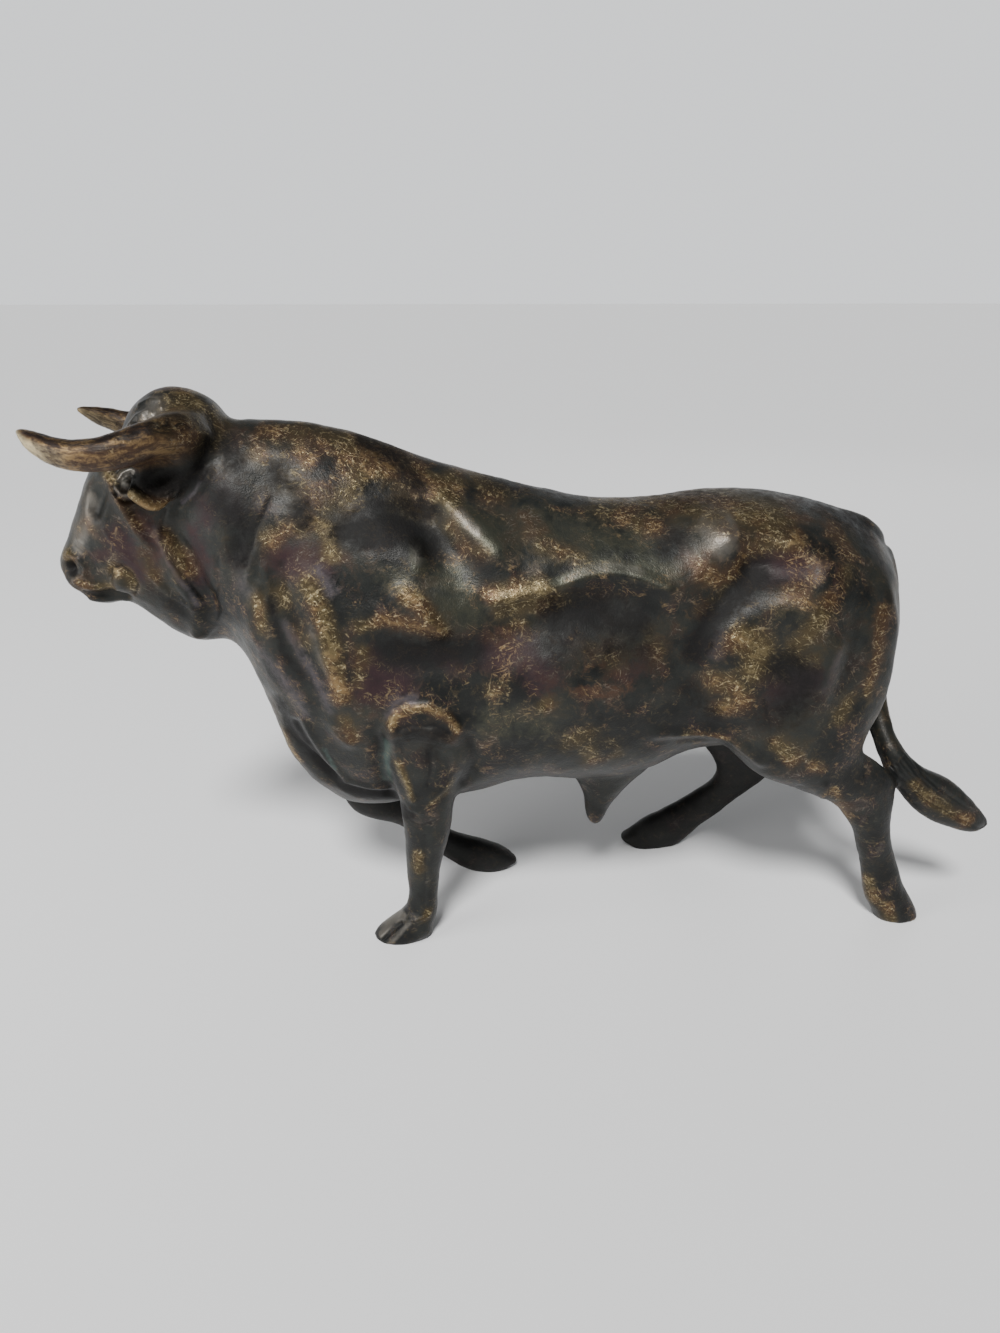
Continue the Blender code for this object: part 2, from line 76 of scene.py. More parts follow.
TURNED_GAIN = 1.6  # a stroke works where the skin faces its side,
TURNED_START = 0.2  # and fades out where it turns away
LUMP_LENGTH = 30.0  # thumb marks left on the surface, and how high they stand
LUMP_HEIGHT = 1.0
DENT_LENGTH = 11.0
DENT_HEIGHT = 0.4
DENT_SHIFT = 900.0  # so that the dents don't follow the lumps


# Each row of the tables below is read as one of these three.
# A stroke of the tool: its sides, its depth (above zero raises, below zero presses in), its width, its
# path seen from the side, how far out from the middle plane it still works, and how far out it begins.
Stroke = namedtuple("Stroke", "sides depth width path out_to out_from", defaults=(999.0, 0.0))

# A dab of the tool: its place is along, outwards from the middle plane, and up.
Dab = namedtuple("Dab", "sides depth place radii")

# A tone of the patina, brushed on: its width, its strength, its path, how far out it still reaches, and
# how far out it begins.
Wash = namedtuple("Wash", "width strength path out_to out_from", defaults=(999.0, 0.0))


# The broad forms of the trunk, laid on before the fine ones
BROAD_STROKES = {
    "cheek groove filled": (BOTH, 3.2, 6.0, ((-392, 450), (-384, 424), (-374, 402), (-366, 388))),
    "scapula ridge": (BOTH, 5.5, 17.0, ((-108, 490), (-99, 480), (-87, 469), (-73, 458), (-64, 450))),
    "under the scapula ridge": (BOTH, -0.8, 14.0, ((-134, 488), (-119, 468), (-103, 452), (-86, 441))),
    "hollow under the hump": (BOTH, -1.6, 22.0, ((-200, 486), (-166, 492), (-134, 486))),
    "neck muscle": (BOTH, 3.2, 11.0, ((-246, 430), (-234, 400), (-226, 360), (-217, 312))),
    "before the neck muscle": (BOTH, -3.0, 11.0, ((-268, 440), (-258, 400), (-248, 360), (-236, 322))),
    "throat ridge": (BOTH, 2.6, 9.0, ((-292, 420), (-286, 385), (-276, 350), (-262, 318), (-250, 290))),
    "shoulder ledge": (BOTH, 3.6, 8.0, ((-154, 415), (-137, 405), (-128, 390), (-118, 378))),
    "hollow over the forearm": (BOTH, -4.5, 20.0, ((-168, 362), (-140, 352), (-112, 354))),
    "rib arch": (BOTH, 5.0, 7.5, (
        (-66, 404), (-50, 407), (-30, 411), (-2, 415), (25, 423), (49, 426), (78, 421), (104, 411))),
    "ribs under the arch": (BOTH, -5.5, 33.0, ((-40, 374), (0, 380), (45, 380), (84, 368))),
    "flank groove": (BOTH, -2.8, 14.0, (
        (198, 440), (181, 426), (163, 409), (147, 385), (137, 350), (136, 312))),
    "croup band": (BOTH, 3.2, 10.0, ((169, 453), (198, 457), (229, 452))),
    "croup hollow": (BOTH, -4.5, 14.0, ((188, 436), (212, 430), (236, 428))),
    "top of the thigh": (BOTH, 2.6, 18.0, ((214, 396), (238, 398))),
    "thigh groove": (BOTH, -1.2, 15.0, ((307, 405), (295, 378), (291, 338), (282, 309))),
    "thigh ridge": (BOTH, 2.6, 10.0, ((272, 354), (262, 316))),
}

BROAD_DABS = {
    "hip dome": (BOTH, 7.5, (158, 96, 460), (24, 45, 46)),
    "shoulder lump": (BOTH, 4.5, (-138, 112, 446), (11, 40, 20)),
    "withers knob": (BOTH, 2.6, (-193, 84, 514), (12, 30, 9)),
    "second withers knob": (BOTH, 2.6, (-126, 92, 510), (15, 30, 9)),
}

# The curls of the poll: along, up, how high and how wide
POLL_CURLS = ((-400, 563, 3.2, 3.4), (-392, 571, 3.2, 3.4), (-383, 576, 3.2, 3.4), (-374, 581, 3.2, 3.4),
              (-388, 563, 2.8, 3.2), (-378, 568, 2.8, 3.2))

FINE_STROKES = {
    "upper lid": (BOTH, 2.2, 2.4, ((-417, 516), (-412, 524), (-404, 527), (-397, 521)), 78),
    "lower lid": (BOTH, 2.0, 2.2, ((-419, 512), (-413, 506), (-405, 505), (-399, 509)), 78),
    "crease over the lid": (BOTH, -1.8, 2.2, ((-421, 523), (-413, 530), (-403, 532)), 78),
    "crease under the lid": (BOTH, -1.6, 2.0, ((-421, 507), (-413, 500), (-403, 499)), 76),
    "crease before the eye": (BOTH, -2.2, 2.2, ((-424, 522), (-422, 513), (-418, 506)), 76),
    "hollow before the eye": (BOTH, -2.6, 8.0, ((-433, 508), (-438, 498), (-443, 488)), 70),
    "edge of that hollow": (BOTH, 1.5, 4.0, ((-425, 511), (-428, 499), (-436, 483)), 70),
    "ridge under the eye": (BOTH, 1.8, 4.5, ((-416, 502), (-412, 486), (-404, 470), (-394, 456)), 76),
    "groove behind that ridge": (BOTH, -1.4, 4.5, (
        (-405, 490), (-400, 477), (-392, 464), (-385, 452)), 76),
    "crease from the ear to the jaw": (BOTH, -1.3, 2.4, (
        (-375, 490), (-380, 476), (-381, 460), (-374, 440), (-364, 420), (-352, 398))),
    "jaw ridge": (BOTH, 1.0, 5.0, ((-372, 478), (-372, 458), (-365, 437), (-354, 416), (-346, 396))),
    "inner jaw ridge": (BOTH, 1.4, 3.4, ((-400, 425), (-390, 410), (-377, 397), (-364, 389))),
    "upper lip band": (BOTH, 1.8, 3.0, ((-477, 413), (-464, 408), (-447, 409), (-439, 406))),
    "mouth line": (BOTH, -1.2, 1.8, ((-472, 404), (-456, 401), (-445, 403), (-436, 401), (-430, 396))),
    "lower lip": (BOTH, 2.6, 4.0, ((-467, 395), (-449, 391), (-434, 392))),
    "round the lip corner": (BOTH, -2.0, 2.6, (
        (-441, 421), (-437, 430), (-427, 432), (-418, 424), (-415, 412), (-420, 402))),
    "nostril wing": (BOTH, 2.6, 2.6, ((-482, 440), (-472, 437), (-466, 429), (-468, 420), (-478, 416))),
    "crease over the nostril": (BOTH, -1.4, 3.0, ((-474, 449), (-462, 441), (-456, 428))),
    "wrinkle over the muzzle": (BOTH, 0.9, 2.2, ((-470, 456), (-456, 448), (-447, 436))),
    "wrinkle on the cheek": (BOTH, 0.9, 2.4, ((-437, 470), (-428, 452), (-416, 440))),
    "rim of the ear": (BOTH, 5.0, 4.6, (
        (-399, 512), (-391, 506), (-383, 499), (-374, 495), (-363, 496)), 999, 70),
    "inside that rim": (BOTH, -4.0, 4.5, ((-394, 519), (-384, 511), (-374, 506), (-362, 507)), 999, 66),
    "fold behind the ear": (BOTH, 1.2, 3.0, (
        (-360, 492), (-349, 501), (-338, 512), (-331, 526)), 999, 40),
    "fold of the poll": (BOTH, 2.4, 2.2, ((-406, 566), (-398, 574), (-388, 578)), 42),
    "upper fold of the poll": (BOTH, 2.2, 2.2, ((-398, 583), (-387, 588), (-376, 587)), 42),
    "low fold of the poll": (BOTH, 2.2, 2.2, ((-416, 556), (-409, 563), (-401, 565)), 42),
    "cord of the throat": (BOTH, 1.6, 3.4, ((-360, 352), (-345, 366), (-332, 384))),
    "crease behind the jaw": (BOTH, -1.4, 3.4, ((-339, 404), (-331, 424), (-328, 447))),
    "thin crease of the neck": (BOTH, -1.3, 2.6, (
        (-276, 500), (-282, 486), (-290, 472), (-295, 455), (-300, 440))),
    "neck wrinkle": (BOTH, 1.1, 3.0, ((-303, 470), (-296, 448), (-300, 424))),
    "second neck wrinkle": (BOTH, 1.1, 3.0, ((-284, 440), (-279, 418), (-284, 396))),
    "edge of the chest": (BOTH, 2.4, 4.0, (
        (-258, 280), (-253, 263), (-239, 230), (-219, 198), (-196, 193), (-178, 191))),
    "under the edge of the chest": (BOTH, -4.0, 6.0, (
        (-268, 270), (-262, 252), (-249, 220), (-228, 186), (-200, 181), (-178, 180))),
    "cap of the forearm": (BOTH, 3.0, 4.4, (
        (-168, 284), (-163, 296), (-150, 303), (-132, 304), (-114, 296), (-103, 282)), 999, 20),
    "under that cap": (BOTH, -2.6, 4.6, ((-161, 281), (-148, 287), (-126, 287), (-112, 279)), 999, 20),
    "front ridge of the forearm": ((NEAR,), 1.8, 4.0, (
        (-166, 262), (-162, 236), (-154, 210), (-149, 190)), 999, 10),
    "inner arc of the forearm": ((NEAR,), -1.8, 4.0, ((-131, 250), (-131, 230), (-135, 212)), 999, 10),
    "rear arc of the forearm": ((NEAR,), 1.6, 4.0, (
        (-106, 250), (-107, 226), (-116, 206), (-130, 194)), 999, 10),
    "knee": ((NEAR,), 1.8, 4.0, ((-152, 180), (-142, 176), (-134, 180))),
    "under the knee": ((NEAR,), -1.4, 4.0, ((-153, 162), (-143, 158), (-133, 162))),
    "tendon of the near foreleg": ((NEAR,), -1.4, 3.4, (
        (-139, 146), (-139, 110), (-141, 74), (-142, 48))),
    "coronet of the near forefoot": ((NEAR,), 2.0, 2.6, ((-181, 25), (-165, 27), (-150, 29), (-138, 34))),
    "over that coronet": ((NEAR,), -1.2, 2.6, ((-176, 34), (-162, 36), (-150, 38))),
    "cleft of the near forefoot": ((NEAR,), -2.6, 2.0, ((-192, 2), (-180, 14), (-168, 24)), 999, 10),
    "hock of the near hind leg": ((NEAR,), -2.4, 4.0, ((259, 190), (262, 170), (266, 150))),
    "tendon of the near hind leg": ((NEAR,), 2.4, 4.4, ((285, 196), (290, 170), (293, 140), (297, 110))),
    "fold of the flank": (BOTH, 1.3, 3.2, ((121, 257), (146, 254), (176, 249), (196, 243))),
    "fold under the flank": (BOTH, -1.2, 3.2, ((128, 246), (152, 243), (180, 238))),
    "fold of the thigh": (BOTH, -1.2, 4.0, ((205, 300), (214, 272), (216, 250))),
    "rib crease": (BOTH, -1.1, 5.0, ((-36, 340), (-30, 320), (-14, 300))),
    "second rib crease": (BOTH, -1.0, 5.0, ((20, 330), (28, 310), (40, 292))),
}

FINE_DABS = {
    "heel of the near forefoot": ((NEAR,), 6.0, (-141, 60, 6), (9, 24, 11)),
    "toe of the far hind foot": ((FAR,), 5.0, (116, 120, -2), (7, 30, 5)),
    "toe of the folded foreleg": ((FAR,), 6.0, (-27, 74, 8), (6, 30, 7)),
    **{f"curl {number} of the poll": (BOTH, height, (x, 30, z), (width, 12, width))
       for number, (x, z, height, width) in enumerate(POLL_CURLS)},
    "eyeball": (BOTH, 3.4, (-408, 58, 516), (4.6, 12, 4.6)),
    "lip corner": (BOTH, 2.6, (-429, 40, 416), (8, 14, 8)),
    "nose knob": (BOTH, 3.4, (-485, 20, 437), (5, 8, 5)),
    "nostril": (BOTH, -12.0, (-481, 24, 427), (5.2, 9, 6.0)),
    "brow knob": (BOTH, 2.6, (-425, 52, 522), (5, 9, 5)),
    "hollow of the ear": (BOTH, -5.0, (-368, 88, 519), (16, 16, 9)),
    "near dew claw": ((NEAR,), 3.5, (-132, 27, 30), (6, 10, 7)),
    "knot of the throat": (BOTH, 3.0, (-366, 30, 351), (8, 22, 7)),
    "pin of the hock": ((NEAR,), 2.5, (300, 40, 212), (8, 16, 9)),
}

# Where the patina is brushed through to the gold of the metal
GILT = {
    "along the crest": (9, 0.45, ((-284, 557), (-220, 551))),
    "crest patch": (9, 0.7, ((-248, 546), (-242, 531))),
    "behind the poll": (9, 0.5, ((-290, 542), (-283, 538))),
    "before the withers": (15, 0.85, ((-201, 538), (-174, 533), (-161, 521), (-189, 522), (-201, 506))),
    "withers": (13, 0.9, ((-139, 515), (-124, 502), (-103, 503))),
    "withers front": (9, 0.5, ((-160, 494), (-139, 496))),
    "behind the withers": (11, 0.45, ((-94, 509), (-55, 497))),
    "over the scapula": (12, 0.55, ((-149, 490), (-125, 480))),
    "side of the neck": (16, 0.5, ((-259, 514), (-229, 498), (-206, 497))),
    "neck knot": (10, 0.95, ((-280, 465), (-272, 466))),
    "neck squiggle": (8, 0.9, ((-239, 481), (-222, 472), (-219, 449))),
    "neck band": (9, 0.6, ((-262, 473), (-243, 475))),
    "under the scapula ridge": (9, 0.6, ((-106, 470), (-95, 456), (-78, 449))),
    "neck muscle": (10, 1.0, ((-240, 422), (-229, 401), (-223, 372), (-220, 343), (-215, 317))),
    "foot of the neck muscle": (8, 0.7, ((-214, 287), (-208, 266))),
    "throat ridge": (7, 0.7, ((-291, 407), (-289, 380))),
    "between the throat ridges": (11, 0.6, ((-269, 416), (-266, 408))),
    "low neck": (11, 0.4, ((-248, 370), (-252, 385))),
    "shoulder run": (8, 0.9, ((-150, 414), (-136, 406), (-127, 394), (-119, 382))),
    "arm ledge": (8, 0.75, ((-192, 385), (-170, 390), (-142, 386), (-116, 378))),
    "before the arm": (9, 0.6, ((-193, 361), (-199, 331))),
    "forearm cap": (5, 1.0, (
        (-168, 285), (-163, 296), (-151, 303), (-130, 304), (-112, 294), (-103, 281))),
    "rib arch": (10, 1.0, ((-69, 411), (-41, 415), (-18, 416))),
    "under the rib arch": (12, 0.7, ((-60, 395), (-30, 403), (-1, 401))),
    "front of the ribs": (12, 0.45, ((-65, 368), (-40, 381))),
    "high ribs": (9, 0.55, ((-19, 451), (20, 442))),
    "high ribs front": (10, 0.35, ((-30, 461), (-18, 461))),
    "belly fleck": (7, 0.8, ((-19, 305), (-15, 307))),
    "belly front": (11, 0.5, ((-71, 319), (-57, 324))),
    "back": (15, 0.5, ((48, 482), (130, 484), (187, 482), (233, 468))),
    "below the back": (9, 0.6, ((67, 469), (98, 464))),
    "croup": (15, 0.7, ((183, 477), (210, 467), (233, 456), (187, 446))),
    "under the hip": (11, 0.7, ((139, 427), (160, 417), (179, 434))),
    "flank edge": (10, 0.5, ((138, 389), (160, 403))),
    "pin bone": (11, 0.5, ((282, 457), (293, 440), (279, 417))),
    "before the pin bone": (12, 0.5, ((254, 439), (249, 424))),
    "top of the thigh": (13, 0.5, ((217, 406), (232, 409))),
    "stifle": (15, 1.0, ((176, 365), (197, 353), (187, 332))),
    "thigh edge": (11, 0.7, ((231, 359), (248, 383), (262, 402))),
    "back of the thigh": (11, 0.45, ((227, 348), (247, 342))),
    "low stifle": (13, 0.9, ((155, 319), (177, 313), (184, 299), (167, 291))),
    "buttock ridge": (8, 0.6, ((323, 386), (322, 346), (315, 303))),
    "low buttock": (11, 0.8, ((293, 295), (286, 280))),
    "belly behind": (13, 0.6, ((8, 255), (28, 266), (33, 235))),
    "belly last": (11, 0.5, ((54, 256), (60, 241))),
    "ribs middle": (15, 0.4, ((25, 358), (49, 346))),
    "ribs behind": (13, 0.4, ((87, 370), (97, 353))),
    "gaskin": (10, 0.9, ((225, 249), (241, 231))),
    "gaskin behind": (9, 0.6, ((263, 225), (275, 218))),
    "flank fold": (4, 0.5, ((131, 258), (174, 251))),
    "forearm front": (6, 1.0, ((-163, 234), (-157, 216), (-151, 194))),
    "forearm arc": (5, 0.7, ((-109, 211), (-118, 196), (-130, 188))),
    "knee": (8, 0.9, ((-147, 118), (-145, 96))),
    "fetlock": (6, 1.0, ((-138, 38), (-141, 30))),
    "hind cannon": (9, 0.95, ((363, 55), (374, 29))),
    "hind pastern": (9, 0.9, ((385, 25), (395, 4))),
    "hock": (8, 0.8, ((295, 189), (323, 144))),
    "cheek": (10, 0.65, ((-378, 465), (-371, 449), (-363, 428)), 74),
    "under the eye": (6, 0.5, ((-415, 499), (-409, 486), (-400, 476)), 74),
    "front of the cheek": (11, 0.4, ((-399, 440), (-394, 424)), 74),
    "upper lip": (6, 0.7, ((-471, 413), (-460, 407), (-445, 408)), 74),
    "lip corner": (7, 0.8, ((-435, 428), (-422, 425), (-420, 412)), 74),
    "nose": (6, 0.9, ((-485, 441), (-480, 435)), 74),
    "bridge of the nose": (6, 0.4, ((-457, 477), (-469, 461)), 74),
    "bridge spot": (7, 0.5, ((-454, 476), (-452, 470)), 74),
    "brow": (5, 0.9, ((-426, 522), (-422, 518)), 74),
    "ear rim": (6.5, 1.7, ((-396, 507), (-389, 503), (-382, 496), (-372, 495)), 999, 60),
    "forehead": (7, 0.5, ((-371, 588), (-375, 580)), 74),
    "back of the poll": (15, 0.65, ((-356, 588), (-340, 572), (-330, 556))),
    "side of the poll": (11, 0.6, ((-368, 584), (-360, 572))),
    "front of the hump": (14, 0.5, ((-206, 520), (-190, 522))),
    "high hump": (12, 0.45, ((-232, 546), (-190, 548), (-150, 532))),
    "dewlap": (4, 1.0, ((-287, 246), (-281, 228), (-273, 212)), 50),
    "tail tuft": (9, 1.0, ((397, 178), (417, 159), (443, 142), (469, 128))),
    "tail root": (8, 0.3, ((283, 466), (299, 452))),
}

# Red-brown clouds
MAROON = {
    "neck": (22, 0.9, ((-263, 446), (-230, 443))),
    "above the forearm": (22, 0.8, ((-192, 321), (-158, 330))),
    "arm hollow": (10, 0.8, ((-119, 351), (-103, 346))),
    "ribs": (22, 0.8, ((-70, 358), (-42, 360), (-18, 332))),
    "croup hollow": (24, 0.8, ((208, 431), (232, 429))),
    "thigh": (24, 0.7, ((221, 309), (247, 323))),
    "side of the head": (18, 0.5, ((-317, 509), (-308, 491))),
    "cheek": (14, 0.6, ((-341, 499), (-337, 481))),
    "under the eye": (10, 0.8, ((-398, 482), (-384, 452), (-396, 436)), 90),
    "before the cheek": (16, 0.9, ((-424, 462), (-418, 450), (-411, 428)), 90),
    "lower cheek": (14, 0.7, ((-352, 470), (-344, 440), (-352, 420)), 110),
    "over the muzzle": (9, 0.6, ((-452, 440), (-440, 446)), 74),
    "arm front": (18, 0.8, ((-188, 352), (-176, 336))),
    "flank": (16, 0.6, ((77, 339), (57, 336))),
    "horn": (6, 0.7, ((-424, 545), (-404, 544))),
}

# Painted shade: near black laid in the hollows, under the overhangs, in the ear and the nostril, on the
# side of the neck and along the top of the back; it also makes the surface dull
PAINTED_SHADE_WASHES = {
    "under the scapula": (20, 0.9, ((-206, 471), (-163, 475), (-125, 458))),
    "elbow": (16, 0.9, ((-104, 355), (-84, 359))),
    "arm hollow": (24, 0.9, ((-162, 360), (-133, 354), (-119, 360))),
    "under the rib arch": (26, 0.9, ((-2, 386), (38, 389), (77, 379))),
    "under the rib arch low": (22, 0.6, ((-13, 360), (22, 363), (77, 356))),
    "flank groove": (15, 0.95, ((200, 424), (168, 402), (148, 382), (134, 350))),
    "hip corner": (10, 0.9, ((185, 424), (191, 416))),
    "flank front": (16, 0.6, ((131, 310), (162, 269))),
    "thigh": (26, 0.8, ((224, 336), (243, 323), (231, 296))),
    "thigh groove": (12, 0.45, ((307, 405), (295, 378), (291, 338), (282, 309))),
    "below the thigh": (22, 0.5, ((203, 278), (243, 273))),
    "ear": (18, 0.9, ((-382, 521), (-361, 521), (-344, 522))),
    "behind the horn": (10, 0.8, ((-330, 553), (-335, 535))),
    "dewlap": (9, 0.9, ((-282, 295), (-275, 254), (-264, 230))),
    "under the chest": (11, 1.3, (
        (-268, 262), (-258, 232), (-236, 198), (-216, 180), (-190, 176), (-160, 172))),
    "side of the neck": (20, 0.8, ((-318, 500), (-300, 476), (-306, 450))),
    "below the cheek": (14, 0.55, ((-400, 404), (-392, 396), (-372, 380))),
    "under the hump": (10, 0.9, ((-198, 460), (-176, 463), (-158, 464))),
    "behind the poll": (14, 0.7, ((-318, 548), (-306, 530))),
    "nostril": (5, 1.8, ((-482, 429), (-480, 424)), 40),
    "shoulder hollow": (14, 0.8, ((-176, 490), (-150, 488), (-124, 484))),
    "side of the hump": (16, 0.7, ((-270, 520), (-250, 500), (-244, 480))),
    "before the hip": (14, 0.7, ((120, 456), (104, 446))),
    "withers hollow": (12, 0.8, ((-188, 548), (-156, 530), (-132, 502))),
    "top of the back": (20, 0.6, ((-60, 512), (20, 500), (120, 494), (200, 500), (270, 490), (320, 450))),
    "neck groove": (7, 0.7, ((-279, 409), (-274, 384), (-268, 355), (-254, 333))),
    "neck notch": (3.5, 0.55, ((-278, 498), (-284, 484), (-291, 468))),
    "forearm face": (15, 0.7, ((-150, 276), (-121, 278), (-131, 249))),
    "flank edge": (12, 0.6, ((-78, 442), (-69, 428))),
}

# Green-grey: a patina tone on the ribs, the belly and the thigh, and painted sheen along the scapula
# ridge, the rib arch and the shoulder
GREY_AND_SHEEN_WASHES = {
    "shoulder": (18, 0.45, ((-170, 430), (-150, 428))),
    "behind the shoulder": (24, 0.7, ((-107, 424), (-89, 398), (-113, 407))),
    "high ribs": (26, 0.6, ((-67, 467), (-18, 465), (41, 450), (81, 450))),
    "over the arch": (18, 0.7, ((78, 435), (107, 426))),
    "thigh top": (20, 0.55, ((222, 405), (241, 403))),
    "belly front": (28, 0.5, ((-71, 289), (-21, 282))),
    "scapula ridge": (11, 1.2, ((-106, 498), (-94, 482), (-80, 470), (-64, 457))),
    "rib arch": (6, 1.0, ((-20, 419), (-2, 421), (25, 430), (49, 433), (78, 428), (104, 418))),
    "shoulder lump": (9, 1.1, ((-138, 456), (-136, 440))),
}

# Painted sheen: pale grey-lilac laid along the ridges and folds where light catches them, and in a few
# pale patches on the neck
LILAC_SHEEN_WASHES = {
    "stifle top": (9, 0.5, ((156, 372), (150, 350))),
    "neck ridge": (7, 0.6, ((-268, 385), (-253, 356), (-238, 325), (-228, 297))),
    "second neck fold": (9, 0.6, ((-292, 352), (-267, 316), (-255, 291))),
    "side of the neck": (14, 0.35, ((-278, 494), (-266, 499))),
    "neck patch": (12, 0.3, ((-247, 509), (-234, 498))),
    "head of the neck muscle": (10, 0.7, ((-232, 433), (-222, 418))),
    "throat": (12, 0.5, ((-306, 445), (-303, 417))),
    "thigh ridge": (8, 0.6, ((273, 348), (262, 314))),
    "top of the forearm": (6, 0.9, ((-169, 294), (-159, 308), (-147, 312))),
    "jaw ridge": (4, 0.7, ((-386, 473), (-383, 457), (-377, 436), (-366, 414), (-358, 392)), 74),
    "tail side": (9, 0.4, ((322, 441), (339, 418))),
    "fold behind the ear": (3, 0.8, ((-359, 497), (-347, 506), (-338, 520))),
}

# Painted highlights: a pale colour laid where light catches the hip bone, the ridges, the eye, the nose
# and the hooves
PAINTED_HIGHLIGHT_WASHES = {
    "hip bone": (16, 1.4, ((160, 486), (157, 458)), 999, 50),
    "head of the scapula ridge": (6, 0.8, ((-96, 484), (-88, 475), (-80, 467))),
    "rib arch": (4, 0.6, ((6, 424), (25, 431), (49, 434), (78, 429))),
    "shoulder lump": (7, 0.8, ((-139, 456), (-137, 447))),
    "bridge": (9, 1.0, ((-449, 496), (-457, 474), (-470, 452)), 74),
    "poll": (10, 1.0, ((-377, 581), (-386, 574), (-384, 573)), 74),
    "eyeball": (4, 0.9, ((-410, 516), (-406, 517)), 78, 40),
    "eye": (3, 1.3, ((-414, 520), (-406, 526), (-397, 524)), 78),
    "under the eye": (2.5, 1.2, ((-418, 511), (-410, 505), (-402, 506)), 78),
    "front of the near forefoot": (2.5, 1.2, ((-192, 7), (-179, 21), (-165, 31))),
    "cleft of the near forefoot": (2.5, 0.9, ((-184, 0), (-170, 13), (-159, 26))),
    "nose": (4, 0.8, ((-478, 418), (-470, 416)), 74),
    "neck muscle": (4, 0.55, ((-242, 385), (-238, 365), (-229, 342), (-219, 325))),
}

# Orange-brown
RUST = {
    "belly band": (8, 1.0, ((12, 321), (37, 316), (67, 318))),
    "ribs": (12, 0.6, ((37, 367), (27, 344), (77, 351))),
    "cheek": (10, 0.6, ((-374, 455), (-364, 439)), 74),
    "arm rim": (6, 0.7, ((-107, 361), (-101, 342))),
    "forearm cap": (4, 0.8, ((-159, 295), (-139, 301), (-120, 296))),
    "neck": (9, 0.5, ((-230, 459), (-218, 445))),
    "upper lip": (5, 0.6, ((-467, 421), (-454, 415)), 74),
    "flank": (9, 0.5, ((163, 399), (183, 408))),
}

# Pale green that stayed in a corner
VERDIGRIS = {
    "before the forearm": (6, 1.0, ((-175, 261), (-178, 234), (-176, 206))),
    "dewlap": (3, 0.8, ((-239, 242), (-231, 216))),
}

TONES = {"painted_highlight": PAINTED_HIGHLIGHT_WASHES, "gilt": GILT, "maroon": MAROON, "painted_shade": PAINTED_SHADE_WASHES, "grey_and_sheen": GREY_AND_SHEEN_WASHES, "lilac_sheen": LILAC_SHEEN_WASHES,
         "rust": RUST, "verdigris": VERDIGRIS}

# The middle of the near horn, from root to tip: along, outwards and up; the far one is its mirror
HORN_RUN = ((-346, 34, 556), (-358, 58, 557), (-374, 78, 556), (-394, 92, 552), (-415, 100, 549),
            (-436, 102, 549), (-456, 99, 554), (-471, 93, 560), (-483, 86, 566), (-489, 81, 570))
HORN_REACH = 27.0  # how far from that line the horn's skin still lies,
HORN_EDGE = 7.0  # and over how much of that it fades out
HORN_HEIGHT = 528.0  # the horns lie above this
HORN_ROOT = 12.0  # along that line, the horn's own colour begins here,
HORN_TIP_FROM = 120.0  # and its brushed tip here,
HORN_FADE = 45.0  # each over this length
HORN_TOP = (0.35, 0.45)  # its top begins at this cosine of the turn about that line, and its fade
HORN_UNDER = (0.45, 0.5)  # the same for its under side
HORN_ROUND = 15.0  # a radian round that line counts as this length in the grain
FAR_HORN_TIP = 0.35  # how much of that brushing the far horn's tip has
FAR_HORN_DARK = 0.55  # and how much darker that horn is

# The middle of the tail's tuft, as seen from the side, and how far from it its strands part
TUFT_RUN = ((382, 204), (398, 184), (422, 164), (450, 146), (478, 128), (501, 113))
STRAND_PARTINGS = (-13.0, -7.0, -1.0, 5.0, 11.0)
TUFT_END_SPREAD = 0.45  # they draw together to this share of that at its end
PARTING_DEPTH = -1.9
PARTING_WIDTH = 2.2


def only(item):
    """Select this object and no other, and make it the active one."""
    bpy.ops.object.select_all(action="DESELECT")
    item.select_set(True)
    bpy.context.view_layer.objects.active = item


def apply_modifier(item, kind, **settings):
    """Add a modifier with these settings, and apply it."""
    modifier = item.modifiers.new(kind.title(), kind)
    for name, value in settings.items():
        setattr(modifier, name, value)
    only(item)
    bpy.ops.object.modifier_apply(modifier=modifier.name)


def working_copy(node, name):
    """A copy of the casting: its loose triangles joined into one skin, and rounded between corners."""
    piece = bpy.data.objects.new(name, node.data.copy())
    piece.data.name = name
    bpy.context.scene.collection.objects.link(piece)
    only(piece)
    bpy.ops.object.mode_set(mode="EDIT")
    bpy.ops.mesh.select_all(action="SELECT")
    bpy.ops.mesh.remove_doubles(threshold=JOIN_DISTANCE)
    bpy.ops.mesh.subdivide(number_cuts=1, smoothness=1.0)
    bpy.ops.mesh.subdivide(number_cuts=1, smoothness=1.0)
    bpy.ops.object.mode_set(mode="OBJECT")
    return piece


def points_of(mesh):
    """The mesh's points, in thousandths of the bull's length."""
    places = np.empty(len(mesh.vertices) * 3)
    mesh.vertices.foreach_get("co", places)
    return places.reshape(-1, 3) / THOUSANDTH


def put_points(mesh, points):
    mesh.vertices.foreach_set("co", (points * THOUSANDTH).ravel())
    mesh.update()


def normals_of(mesh):
    mesh.update()
    facing = np.empty(len(mesh.vertices) * 3, dtype=np.float32)
    mesh.vertex_normals.foreach_get("vector", facing)
    return facing.reshape(-1, 3).astype(float)


def rising(values):
    """These values, held between 0 and 1."""
    return np.clip(values, 0.0, 1.0)


def neighbours_of(mesh):
    pairs = np.empty(len(mesh.edges) * 2, dtype=np.int32)
    mesh.edges.foreach_get("vertices", pairs)
    return pairs.reshape(-1, 2)


